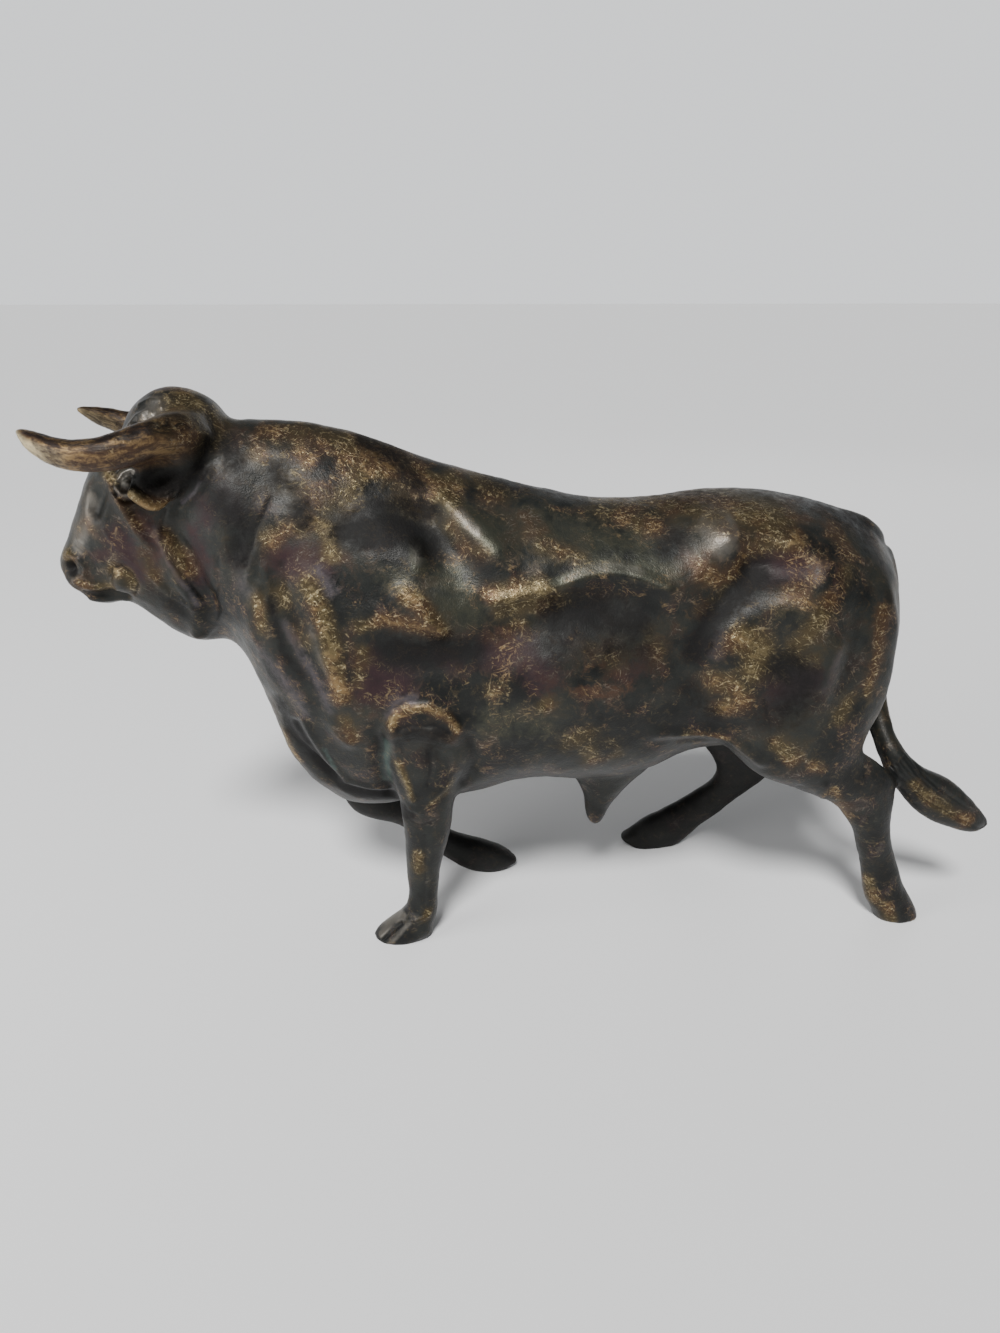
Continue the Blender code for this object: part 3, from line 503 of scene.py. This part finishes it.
def to_neighbours(values, pairs):
    """The step from each point's value to the middle of its neighbours' values."""
    count = len(values)
    shares = np.bincount(pairs.ravel(), minlength=count)
    middle = np.empty_like(values)
    for axis in range(values.shape[1]):
        total = np.bincount(pairs[:, 0], weights=values[pairs[:, 1], axis], minlength=count)
        total += np.bincount(pairs[:, 1], weights=values[pairs[:, 0], axis], minlength=count)
        middle[:, axis] = total / shares
    return middle - values


def smoothed(values, pairs, rounds):
    for _ in range(rounds):
        values = values + 0.5 * to_neighbours(values, pairs)
    return values


def evened(points, pairs, rounds):
    """Smooth without drawing thin limbs in: each round inwards is followed by one outwards."""
    for _ in range(rounds):
        points = points + STEP_IN * to_neighbours(points, pairs)
        points = points - STEP_OUT * to_neighbours(points, pairs)
    return points


def distance_to_path(points, path):
    """How far each point is from a path, both seen from the side."""
    nearest = np.full(len(points), np.inf)
    for start, end in zip(path, path[1:]):
        start = np.array(start, dtype=float)
        along = np.array(end, dtype=float) - start
        share = rising((points - start) @ along / (along @ along))
        nearest = np.minimum(nearest, np.linalg.norm(points - start - share[:, None] * along, axis=1))
    return nearest


def run_along(points, path):
    """For each point: how far along a path it is, how far from it, and the nearest place on it."""
    nearest = np.full(len(points), np.inf)
    reached = np.zeros(len(points))
    place = np.zeros_like(points)
    passed = 0.0
    for start, end in zip(path, path[1:]):
        start = np.array(start, dtype=float)
        along = np.array(end, dtype=float) - start
        length = np.linalg.norm(along)
        share = rising((points - start) @ along / (along @ along))
        foot = start + share[:, None] * along
        away = np.linalg.norm(points - foot, axis=1)
        closer = away < nearest
        nearest[closer] = away[closer]
        reached[closer] = passed + share[closer] * length
        place[closer] = foot[closer]
        passed += length
    return reached, nearest, place


def tuft_partings():
    """Strokes between the strands of the tuft: they follow its middle, and draw together at its end."""
    run = np.array(TUFT_RUN, dtype=float)
    across = np.gradient(run, axis=0)[:, ::-1] * np.array((-1.0, 1.0))
    across /= np.linalg.norm(across, axis=1)[:, None]
    spread = np.linspace(1.0, TUFT_END_SPREAD, len(run))[:, None]
    partings = {}
    for place in STRAND_PARTINGS:
        path = tuple(map(tuple, run + place * spread * across))
        partings[f"parting {place:.0f}"] = (BOTH, PARTING_DEPTH, PARTING_WIDTH, path)
    return partings


def carve(mesh, strokes, dabs):
    """Raise the skin, or press it in, along each stroke and at each dab."""
    points = points_of(mesh)
    facing = normals_of(mesh)
    out = points[:, 1] - MIDDLE
    lift = np.zeros(len(points))
    for stroke in (Stroke(*row) for row in strokes.values()):
        away = distance_to_path(points[:, (0, 2)], stroke.path)
        strength = stroke.depth * np.exp(-((away / stroke.width) ** 2))
        for side in stroke.sides:
            turned = rising(TURNED_GAIN * side * facing[:, 1] - TURNED_START)
            lift += strength * turned * (side * out > stroke.out_from) * (side * out < stroke.out_to)
    for dab in (Dab(*row) for row in dabs.values()):
        for side in dab.sides:
            x, outwards, z = dab.place
            centre = np.array((x, MIDDLE + side * outwards, z))
            away = np.linalg.norm((points - centre) / np.array(dab.radii), axis=1)
            lift += dab.depth * np.exp(-(away ** 2))
    put_points(mesh, points + lift[:, None] * facing)


def soften_trunk(mesh):
    """Round off the trunk's relief, and leave the head, the legs and the tail as they are."""
    points = points_of(mesh)
    pairs = neighbours_of(mesh)
    front, behind, low = TRUNK_FADES
    share = rising((points[:, 0] - TRUNK_FRONT) / front)
    share *= rising((TRUNK_BACK - points[:, 0]) / behind)
    share *= rising((points[:, 2] - TRUNK_LOW) / low)
    rise = TRUNK_RISE * normals_of(mesh)
    put_points(mesh, points + share[:, None] * (smoothed(points, pairs, TRUNK_ROUNDS) + rise - points))


def stand_flat(mesh):
    """Keep the soles of the hooves on the floor."""
    points = points_of(mesh)
    points[:, 2] = np.maximum(points[:, 2], 0.0)
    put_points(mesh, points)


def leave_thumb_marks(mesh):
    """The low lumps of a surface that was modelled by hand, before it was cast."""
    points = points_of(mesh)
    facing = normals_of(mesh)
    lift = np.empty(len(points))
    for index, (x, y, z) in enumerate(points.tolist()):
        lumps = noise.noise(Vector((x, y, z)) / LUMP_LENGTH)
        dents = noise.noise(Vector((x + DENT_SHIFT, y, z)) / DENT_LENGTH)
        lift[index] = LUMP_HEIGHT * lumps + DENT_HEIGHT * dents
    put_points(mesh, points + lift[:, None] * facing)


def work_finer(mesh):
    """Halve the grain on the head, the hooves and the tuft of the tail."""
    form = bmesh.new()
    form.from_mesh(mesh)

    def fine(place):
        x, _, z = place / THOUSANDTH
        return x < HEAD_PLACE or z < HOOF_HEIGHT or (x > TUFT_PLACE and z < TUFT_HEIGHT)

    edges = [edge for edge in form.edges if fine(edge.verts[0].co) and fine(edge.verts[1].co)]
    bmesh.ops.subdivide_edges(form, edges=edges, cuts=1, use_grid_fill=True)
    form.to_mesh(mesh)
    form.free()


def keep(mesh, name, values):
    """Keep a number, or three, for each point of the skin, under a name that the patina reads."""
    kind, field = ("FLOAT", "value") if values.ndim == 1 else ("FLOAT_VECTOR", "vector")
    kept = mesh.attributes.new(name, kind, "POINT")
    kept.data.foreach_set(field, values.astype(np.float32).ravel())


def brush_on_tones(mesh):
    """Note on the skin how strong each tone of the patina is."""
    points = points_of(mesh)
    out = np.abs(points[:, 1] - MIDDLE)
    for name, washes in TONES.items():
        strength = np.zeros(len(points))
        for wash in (Wash(*row) for row in washes.values()):
            away = distance_to_path(points[:, (0, 2)], wash.path)
            here = wash.strength * np.exp(-((away / wash.width) ** 2))
            here *= (out < wash.out_to) * (out > wash.out_from)
            strength = np.maximum(strength, here)
        keep(mesh, name, strength)


def note_relief(mesh):
    """Note where the skin stands proud or is sunk, broadly and finely."""
    pairs = neighbours_of(mesh)
    points = points_of(mesh)
    facing = normals_of(mesh)
    near_by = smoothed(points, pairs, NEAR_ROUNDS)
    far_off = smoothed(near_by, pairs, FAR_ROUNDS)
    fine = np.einsum("ij,ij->i", points - near_by, facing)
    broad = np.einsum("ij,ij->i", near_by - far_off, facing)
    keep(mesh, "fine_relief", fine)
    keep(mesh, "broad_relief", broad)


def note_legs(mesh):
    """Note where the legs are, which were brushed less, and the far ones, which are darkened as painted
    shade.
    """
    points = points_of(mesh)
    low = rising((LEG_TOP - points[:, 2]) / LEG_FADE)
    keep(mesh, "legs", low)
    keep(mesh, "shaded_far_legs", low * rising((points[:, 1] - MIDDLE - FAR_LEG_OUT) / FAR_LEG_FADE))


def note_runs(mesh):
    """Note how far along and round the horns and the tuft each point is, for their grain."""
    points = points_of(mesh)
    mirrored = points.copy()
    mirrored[:, 1] = np.abs(points[:, 1] - MIDDLE)
    reached, away, place = run_along(mirrored, HORN_RUN)
    arm = mirrored - place
    turn = np.arctan2(arm[:, 1], arm[:, 2])
    inside = rising((HORN_REACH - away) / HORN_EDGE) * (points[:, 2] > HORN_HEIGHT)
    keep(mesh, "horn", inside * rising((reached - HORN_ROOT) / HORN_FADE))
    dark_side = np.where(points[:, 1] < MIDDLE, 0.0, FAR_HORN_DARK)
    top = rising((np.cos(turn) - HORN_TOP[0]) / HORN_TOP[1])
    keep(mesh, "horn_top", inside * np.maximum(top, dark_side))
    under = rising((HORN_UNDER[0] - np.cos(turn)) / HORN_UNDER[1])
    brushed_side = np.where(points[:, 1] < MIDDLE, 1.0, FAR_HORN_TIP)
    tip = rising((reached - HORN_TIP_FROM) / HORN_FADE)
    keep(mesh, "horn_tip", inside * under * brushed_side * tip)
    keep(mesh, "horn_run", np.column_stack((reached, turn * HORN_ROUND, np.zeros(len(points)))))


def save_triangles(piece):
    """Leave fewer triangles where the skin is plain, and keep them small on the head."""
    points = points_of(piece.data)
    care = np.round(rising((HEAD_PLACE - points[:, 0]) / HEAD_FADE), 1)
    group = piece.vertex_groups.new(name="broad")
    for value in np.unique(care):
        group.add(np.nonzero(care == value)[0].tolist(), 1.0 - HEAD_SAVED * float(value), "REPLACE")
    now = sum(len(face.vertices) - 2 for face in piece.data.polygons)
    apply_modifier(piece, "DECIMATE", ratio=PIECE_TRIANGLES / now, vertex_group="broad",
                   vertex_group_factor=HEAD_CARE, use_collapse_triangulate=True)
    piece.vertex_groups.clear()


def bronze_skin():
    """The whole bull, as one skin over the solid."""
    piece = working_copy(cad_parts["bull"], "bronze_bull")
    apply_modifier(piece, "REMESH", mode="VOXEL", voxel_size=SKIN_GRAIN)
    mesh = piece.data
    put_points(mesh, evened(points_of(mesh), neighbours_of(mesh), FACET_ROUNDS))
    soften_trunk(mesh)
    carve(mesh, BROAD_STROKES, BROAD_DABS)
    leave_thumb_marks(mesh)
    work_finer(mesh)
    put_points(mesh, evened(points_of(mesh), neighbours_of(mesh), 2))
    carve(mesh, {**FINE_STROKES, **tuft_partings()}, FINE_DABS)
    stand_flat(mesh)
    note_relief(mesh)
    save_triangles(piece)
    brush_on_tones(piece.data)
    note_legs(piece.data)
    note_runs(piece.data)
    piece.data.shade_smooth()
    return piece


# The material is built from small helpers, so that each tone reads as one line


class Patina:
    """The nodes of one material, joined by name."""

    def __init__(self, name):
        self.material = bpy.data.materials.new(name)
        self.material.use_nodes = True
        self.tree = self.material.node_tree
        self.shader = self.tree.nodes["Principled BSDF"]
        self.place = self.tree.nodes.new("ShaderNodeTexCoord").outputs["Object"]

    def join(self, value, socket):
        if isinstance(value, bpy.types.NodeSocket):
            self.tree.links.new(value, socket)
        else:
            socket.default_value = value

    def give(self, name, value):
        """Set a socket of the shader, or join a node to it."""
        self.join(value, self.shader.inputs[name])

    def noted(self, name, output="Fac"):
        """What was noted on the skin under this name."""
        node = self.tree.nodes.new("ShaderNodeAttribute")
        node.attribute_name = name
        return node.outputs[output]

    def stretched(self, turn, scale, place=None):
        """Coordinates turned about the axis across the bull, then scaled by each number."""
        turned = self.tree.nodes.new("ShaderNodeMapping")
        turned.inputs["Rotation"].default_value = (0.0, math.radians(turn), 0.0)
        scaled = self.tree.nodes.new("ShaderNodeMapping")
        scaled.inputs["Scale"].default_value = scale
        self.join(place or self.place, turned.inputs["Vector"])
        self.join(turned.outputs["Vector"], scaled.inputs["Vector"])
        return scaled.outputs["Vector"]

    def noise(self, place, scale, detail=3.0, roughness=0.55, distortion=0.0):
        node = self.tree.nodes.new("ShaderNodeTexNoise")
        self.join(place, node.inputs["Vector"])
        node.inputs["Scale"].default_value = scale
        node.inputs["Detail"].default_value = detail
        node.inputs["Roughness"].default_value = roughness
        node.inputs["Distortion"].default_value = distortion
        return node.outputs["Fac"]

    def math(self, kind, first, second=0.5, third=0.5):
        node = self.tree.nodes.new("ShaderNodeMath")
        node.operation = kind
        for value, socket in zip((first, second, third), node.inputs):
            self.join(value, socket)
        return node.outputs[0]

    def times(self, first, second):
        return self.math("MULTIPLY", first, second)

    def summed(self, base, *parts):
        """The base, with a share of each of these values added to it."""
        for value, share in parts:
            base = self.math("MULTIPLY_ADD", value, share, base)
        return base

    def most(self, *values):
        """The largest of these values, at each place."""
        largest = values[0]
        for value in values[1:]:
            largest = self.math("MAXIMUM", largest, value)
        return largest

    def between(self, value, low, high):
        """0 below low, 1 above high, and smooth between them."""
        node = self.tree.nodes.new("ShaderNodeMapRange")
        node.interpolation_type = "SMOOTHSTEP"
        self.join(value, node.inputs["Value"])
        node.inputs["From Min"].default_value = low
        node.inputs["From Max"].default_value = high
        return node.outputs["Result"]

    def mixed(self, share, first, second):
        node = self.tree.nodes.new("ShaderNodeMix")
        node.data_type = "RGBA"
        self.join(share, node.inputs["Factor"])
        self.join(first, node.inputs[6])
        self.join(second, node.inputs[7])
        return node.outputs[2]

    def laid(self, base, colour, where, share):
        """A colour laid over the base, as strongly as its place and its share say."""
        return self.mixed(self.times(where, share), base, colour)


def colour(red, green, blue):
    return (red, green, blue, 1.0)


BLACK_GREEN = colour(0.007, 0.0076, 0.0077)
GREY_GREEN = colour(0.017, 0.0188, 0.0172)
BROWN = colour(0.066, 0.048, 0.024)
RED_BROWN = colour(0.068, 0.039, 0.022)
OLD_GOLD = colour(0.190, 0.148, 0.075)
ORANGE_GOLD = colour(0.230, 0.152, 0.072)
PALE_GOLD = colour(0.50, 0.42, 0.25)
MAROON_BROWN = colour(0.025, 0.011, 0.014)
# Near black: painted shade, the dark top of the horns and the patina in the creases
SHADE_AND_PATINA_BLACK = colour(0.004, 0.004, 0.0045)
PALE_GREY_AND_SHEEN = colour(0.056, 0.058, 0.043)
PALE_LILAC_SHEEN = colour(0.085, 0.076, 0.082)
# A pale colour, for the stray worn marks and for the painted highlights
PALE_WEAR_AND_HIGHLIGHT = colour(0.155, 0.144, 0.126)
ORANGE_BROWN = colour(0.060, 0.030, 0.018)
PALE_GREEN = colour(0.050, 0.078, 0.070)
WARM_WHITE = colour(1.0, 0.97, 0.92)
HORN_BROWN = colour(0.026, 0.015, 0.011)


def brushed_bronze():
    """Dark patina, brushed through to the gold of the bronze in places, with painted shade, sheen and
    highlights.
    """
    look = Patina("bronze_patina")
    clouds = look.noise(look.place, 34.0, 5.0, 0.62)
    small_clouds = look.noise(look.place, 95.0, 5.0, 0.65, 0.4)
    curds = look.noise(look.place, 250.0, 5.0, 0.7, 0.7)
    warmth = look.between(look.noise(look.place, 48.0, 3.0, 0.6), 0.42, 0.60)
    brown = look.mixed(warmth, BROWN, RED_BROWN)
    gold = look.mixed(warmth, OLD_GOLD, ORANGE_GOLD)
    specks = look.noise(look.place, 900.0, 2.0, 0.6)
    flecks = look.noise(look.place, 280.0, 4.0, 0.6, 1.6)
    smears = look.noise(look.stretched(-22.0, (110.0, 160.0, 260.0)), 1.0, 4.0, 0.6, 1.8)
    legs = look.noted("legs")
    shaded_far_legs = look.noted("shaded_far_legs")

    def tone(name, low=0.1, high=0.9, stir=1.2):
        """How strong a tone is, its edge broken up by the clouds."""
        start = look.math("ADD", look.noted(name), -0.9 * stir)
        broken = look.summed(start, (small_clouds, stir), (curds, 0.8 * stir))
        return look.between(broken, low, high)

    # The dark patina, with painted sheen and painted highlights laid on it
    grey_and_sheen_share = tone("grey_and_sheen")
    maroon = tone("maroon")
    lilac_sheen = tone("lilac_sheen")
    painted_highlight_share = tone("painted_highlight", 0.05, 1.15, 0.9)
    base = look.mixed(look.between(clouds, 0.36, 0.64), BLACK_GREEN, GREY_GREEN)
    base = look.laid(base, MAROON_BROWN, look.between(small_clouds, 0.5, 0.68), 0.5)
    base = look.laid(base, brown, look.between(curds, 0.52, 0.72), 0.45)
    # Green-grey patina, and painted sheen where light catches the ridges
    base = look.laid(base, PALE_GREY_AND_SHEEN, grey_and_sheen_share, 0.8)
    base = look.laid(base, MAROON_BROWN, maroon, 0.9)
    # Painted sheen: pale grey-lilac on the ridges and folds
    base = look.laid(base, PALE_LILAC_SHEEN, lilac_sheen, 0.8)
    # Painted highlights: pale colour laid where light catches the forms
    base = look.laid(base, PALE_WEAR_AND_HIGHLIGHT, painted_highlight_share, 0.8)
    base = look.laid(base, ORANGE_BROWN, tone("rust", 0.3, 1.1, 2.2), 0.6)
    base = look.laid(base, PALE_GREEN, tone("verdigris"), 0.7)

    # Brush strokes in the directions that a hand would use on a standing figure
    hairs = []
    for turn, threshold in ((16.0, 0.61), (-34.0, 0.62), (72.0, 0.635), (121.0, 0.645)):
        hair = look.noise(look.stretched(turn, (130.0, 300.0, 450.0)), 1.0, 3.0, 0.62, 2.0)
        hairs.append(look.between(hair, threshold - 0.04, threshold + 0.06))
    strokes = look.most(*hairs)

    # Where the brush has gone through to the metal: a brown haze, blotches of gold, and single marks
    proud = look.between(look.noted("broad_relief"), 0.5, 4.0)
    # Less gold on the far legs, as part of their painted shade
    rubbed = look.summed(look.noted("gilt"), (proud, 0.2), (legs, -0.16), (shaded_far_legs, -0.4))
    hazy = look.summed(-1.45, (small_clouds, 1.4), (clouds, 1.5), (rubbed, 1.1))
    glaze = look.between(hazy, -0.1, 0.9)
    blotchy = look.summed(-3.2, (curds, 1.2), (small_clouds, 1.9), (smears, 2.4), (flecks, 0.9))
    worn = look.between(look.math("ADD", rubbed, blotchy), 0.65, 1.45)
    marked = look.summed(look.math("ADD", rubbed, -0.8), (small_clouds, 1.6))
    brushed = look.times(strokes, look.between(marked, 0.1, 0.75))
    stray = look.times(strokes, look.between(small_clouds, 0.46, 0.64))
    stray = look.summed(stray, (look.times(stray, shaded_far_legs), -0.7))
    stray_colour = look.mixed(look.between(clouds, 0.47, 0.60), gold, PALE_WEAR_AND_HIGHLIGHT)

    # Along the horns the gold runs in long streaks
    horn = look.noted("horn")
    run = look.noted("horn_run", "Vector")
    streaks = look.noise(look.stretched(0.0, (0.075, 0.20, 1.0), run), 1.0, 5.0, 0.75, 1.2)
    broad_streaks = look.noise(look.stretched(0.0, (0.030, 0.10, 1.0), run), 1.0, 3.0, 0.6, 0.5)
    horn_light = look.summed(-1.15, (broad_streaks, 0.9), (streaks, 0.8), (curds, 0.6))
    horn_glaze = look.times(horn, look.between(horn_light, -0.22, 0.08))
    horn_gold = look.times(horn, look.between(horn_light, -0.04, 0.20))
    base = look.mixed(horn, base, HORN_BROWN)
    base = look.laid(base, RED_BROWN, horn_glaze, 0.8)

    # The gold is laid over the dark patina, and the painted shade over both
    metal_colour = look.mixed(look.between(specks, 0.42, 0.66), gold, PALE_GOLD)
    skin_colour = look.laid(base, brown, glaze, 0.8)
    skin_colour = look.laid(skin_colour, stray_colour, stray, 0.55)
    skin_colour = look.laid(skin_colour, gold, worn, 0.78)
    skin_colour = look.laid(skin_colour, metal_colour, brushed, 0.78)
    skin_colour = look.laid(skin_colour, ORANGE_GOLD, horn_gold, 0.8)
    tip = look.times(look.noted("horn_tip"), look.between(horn_light, -0.3, 0.1))
    skin_colour = look.laid(skin_colour, PALE_GOLD, tip, 0.9)
    top = look.times(look.noted("horn_top"), look.between(streaks, 0.72, 0.42))
    skin_colour = look.laid(skin_colour, SHADE_AND_PATINA_BLACK, top, 0.85)
    # Painted shade: near black in the hollows and on the far legs, and the near legs a little darker
    shade_and_dark_legs = look.most(tone("painted_shade"), look.times(shaded_far_legs, 0.6), look.times(legs, 0.12))
    skin_colour = look.laid(skin_colour, SHADE_AND_PATINA_BLACK, shade_and_dark_legs, 0.92)
    # The fine creases darkened: the patina lying in them, and painted shade
    hollow = look.between(look.noted("fine_relief"), -0.05, -0.55)
    skin_colour = look.laid(skin_colour, SHADE_AND_PATINA_BLACK, hollow, 0.8)
    look.give("Base Color", skin_colour)

    bare = look.most(worn, brushed, look.times(horn_gold, 0.7))
    # Where sheen and highlights are painted on, the skin is also more metallic
    sheen_and_highlight_share = look.most(grey_and_sheen_share, lilac_sheen, painted_highlight_share)
    metal = look.most(look.times(bare, 0.8), look.times(glaze, 0.45), look.times(sheen_and_highlight_share, 0.6))
    look.give("Metallic", metal)
    matt = look.most(shade_and_dark_legs, look.times(maroon, 0.7))
    look.give("Roughness", look.summed(0.26, (small_clouds, 0.10), (curds, 0.14), (matt, 0.26)))
    look.give("IOR", 1.45)
    look.give("Specular IOR Level", 0.24)
    look.give("Specular Tint", WARM_WHITE)

    grain = look.noise(look.place, 1500.0, 2.0, 0.5)
    height = look.summed(look.times(grain, 0.7), (brushed, 0.8), (curds, 1.3), (small_clouds, 1.4))
    height = look.summed(height, (look.times(horn, streaks), 2.0))
    bump = look.tree.nodes.new("ShaderNodeBump")
    bump.inputs["Strength"].default_value = 0.45
    bump.inputs["Distance"].default_value = 0.00028
    look.join(height, bump.inputs["Height"])
    look.give("Normal", bump.outputs["Normal"])
    return look.material


skin = bronze_skin()
skin.data.materials.clear()
skin.data.materials.append(brushed_bronze())
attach(skin, "root")
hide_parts("bull")

# Floor
bpy.ops.object.select_all(action="DESELECT")
bpy.ops.mesh.primitive_plane_add(size=30.0, location=(0.0, 0.0, 0.0))
floor = bpy.context.active_object
floor.name = "floor"
paper = bpy.data.materials.new("paper")
paper.use_nodes = True
paper.node_tree.nodes["Principled BSDF"].inputs["Base Color"].default_value = (0.9, 0.9, 0.9, 1)
floor.data.materials.append(paper)


def look_from(place, aim):
    return (Vector(aim) - Vector(place)).to_track_quat("-Z", "Y").to_euler()


def stand_light(name, data, place, aim):
    lamp = bpy.data.objects.new(name, data)
    lamp.location = place
    lamp.rotation_euler = look_from(place, aim)
    bpy.context.scene.collection.objects.link(lamp)


def soft_box(name, place, aim, side, power):
    """A square soft light near the bull."""
    data = bpy.data.lights.new(name, "AREA")
    data.shape = "SQUARE"
    data.size = side
    data.energy = power
    stand_light(name, data, place, aim)


def high_light(name, way, strength, softness):
    """A broad light far above, which falls evenly on the bull and on the floor."""
    data = bpy.data.lights.new(name, "SUN")
    data.energy = strength
    data.angle = math.radians(softness)
    stand_light(name, data, way, (0.0, 0.0, 0.0))


high_light("over_light", way=(-0.22, -0.80, 1.0), strength=4.2, softness=14.0)
soft_box("front_light", place=(-1.0, -0.45, 0.45), aim=(-0.05, 0.0, 0.12), side=0.6, power=7.0)
soft_box("back_light", place=(0.6, 1.1, 0.8), aim=(0.0, 0.0, 0.1), side=0.7, power=1.2)


def studio_world():
    """Dim all round, with a pale wall low behind the bull."""
    world = bpy.context.scene.world or bpy.data.worlds.new("studio")
    bpy.context.scene.world = world
    world.use_nodes = True
    tree = world.node_tree
    background = tree.nodes["Background"]
    background.inputs["Color"].default_value = (0.96, 0.98, 1.0, 1)
    way = tree.nodes.new("ShaderNodeTexCoord")
    parts = tree.nodes.new("ShaderNodeSeparateXYZ")
    tree.links.new(way.outputs["Generated"], parts.inputs["Vector"])

    def ramp(value, from_low, from_high, to_low, to_high):
        node = tree.nodes.new("ShaderNodeMapRange")
        node.interpolation_type = "SMOOTHSTEP"
        tree.links.new(value, node.inputs["Value"])
        for socket, number in zip(node.inputs[1:5], (from_low, from_high, to_low, to_high)):
            socket.default_value = number
        return node.outputs["Result"]

    behind = ramp(parts.outputs["Y"], 0.1, 0.7, 0.0, 1.0)
    low = ramp(parts.outputs["Z"], 0.25, 0.55, 1.0, 0.0)
    wall = tree.nodes.new("ShaderNodeMath")
    wall.operation = "MULTIPLY"
    tree.links.new(behind, wall.inputs[0])
    tree.links.new(low, wall.inputs[1])
    tree.links.new(ramp(wall.outputs[0], 0.0, 1.0, 0.09, 1.15), background.inputs["Strength"])


studio_world()

# The camera stands where the photograph was taken from
CAMERA_DISTANCE = 1.0923 * LENGTH
CAMERA_HEIGHT_ANGLE = math.radians(21.0)
CAMERA_SIDE_ANGLE = math.radians(-4.0)
AIM = Vector((-0.0222, -0.0028, 0.1259))
back = Vector((math.sin(CAMERA_SIDE_ANGLE) * math.cos(CAMERA_HEIGHT_ANGLE),
               -math.cos(CAMERA_SIDE_ANGLE) * math.cos(CAMERA_HEIGHT_ANGLE),
               math.sin(CAMERA_HEIGHT_ANGLE)))
camera_data = bpy.data.cameras.new("camera")
camera_data.lens = 27.0
camera_data.sensor_width = 36.0
camera_data.clip_start = 0.01
camera = bpy.data.objects.new("camera", camera_data)
camera.location = AIM + back * CAMERA_DISTANCE
camera.rotation_euler = look_from(camera.location, AIM)
bpy.context.scene.collection.objects.link(camera)
bpy.context.scene.camera = camera
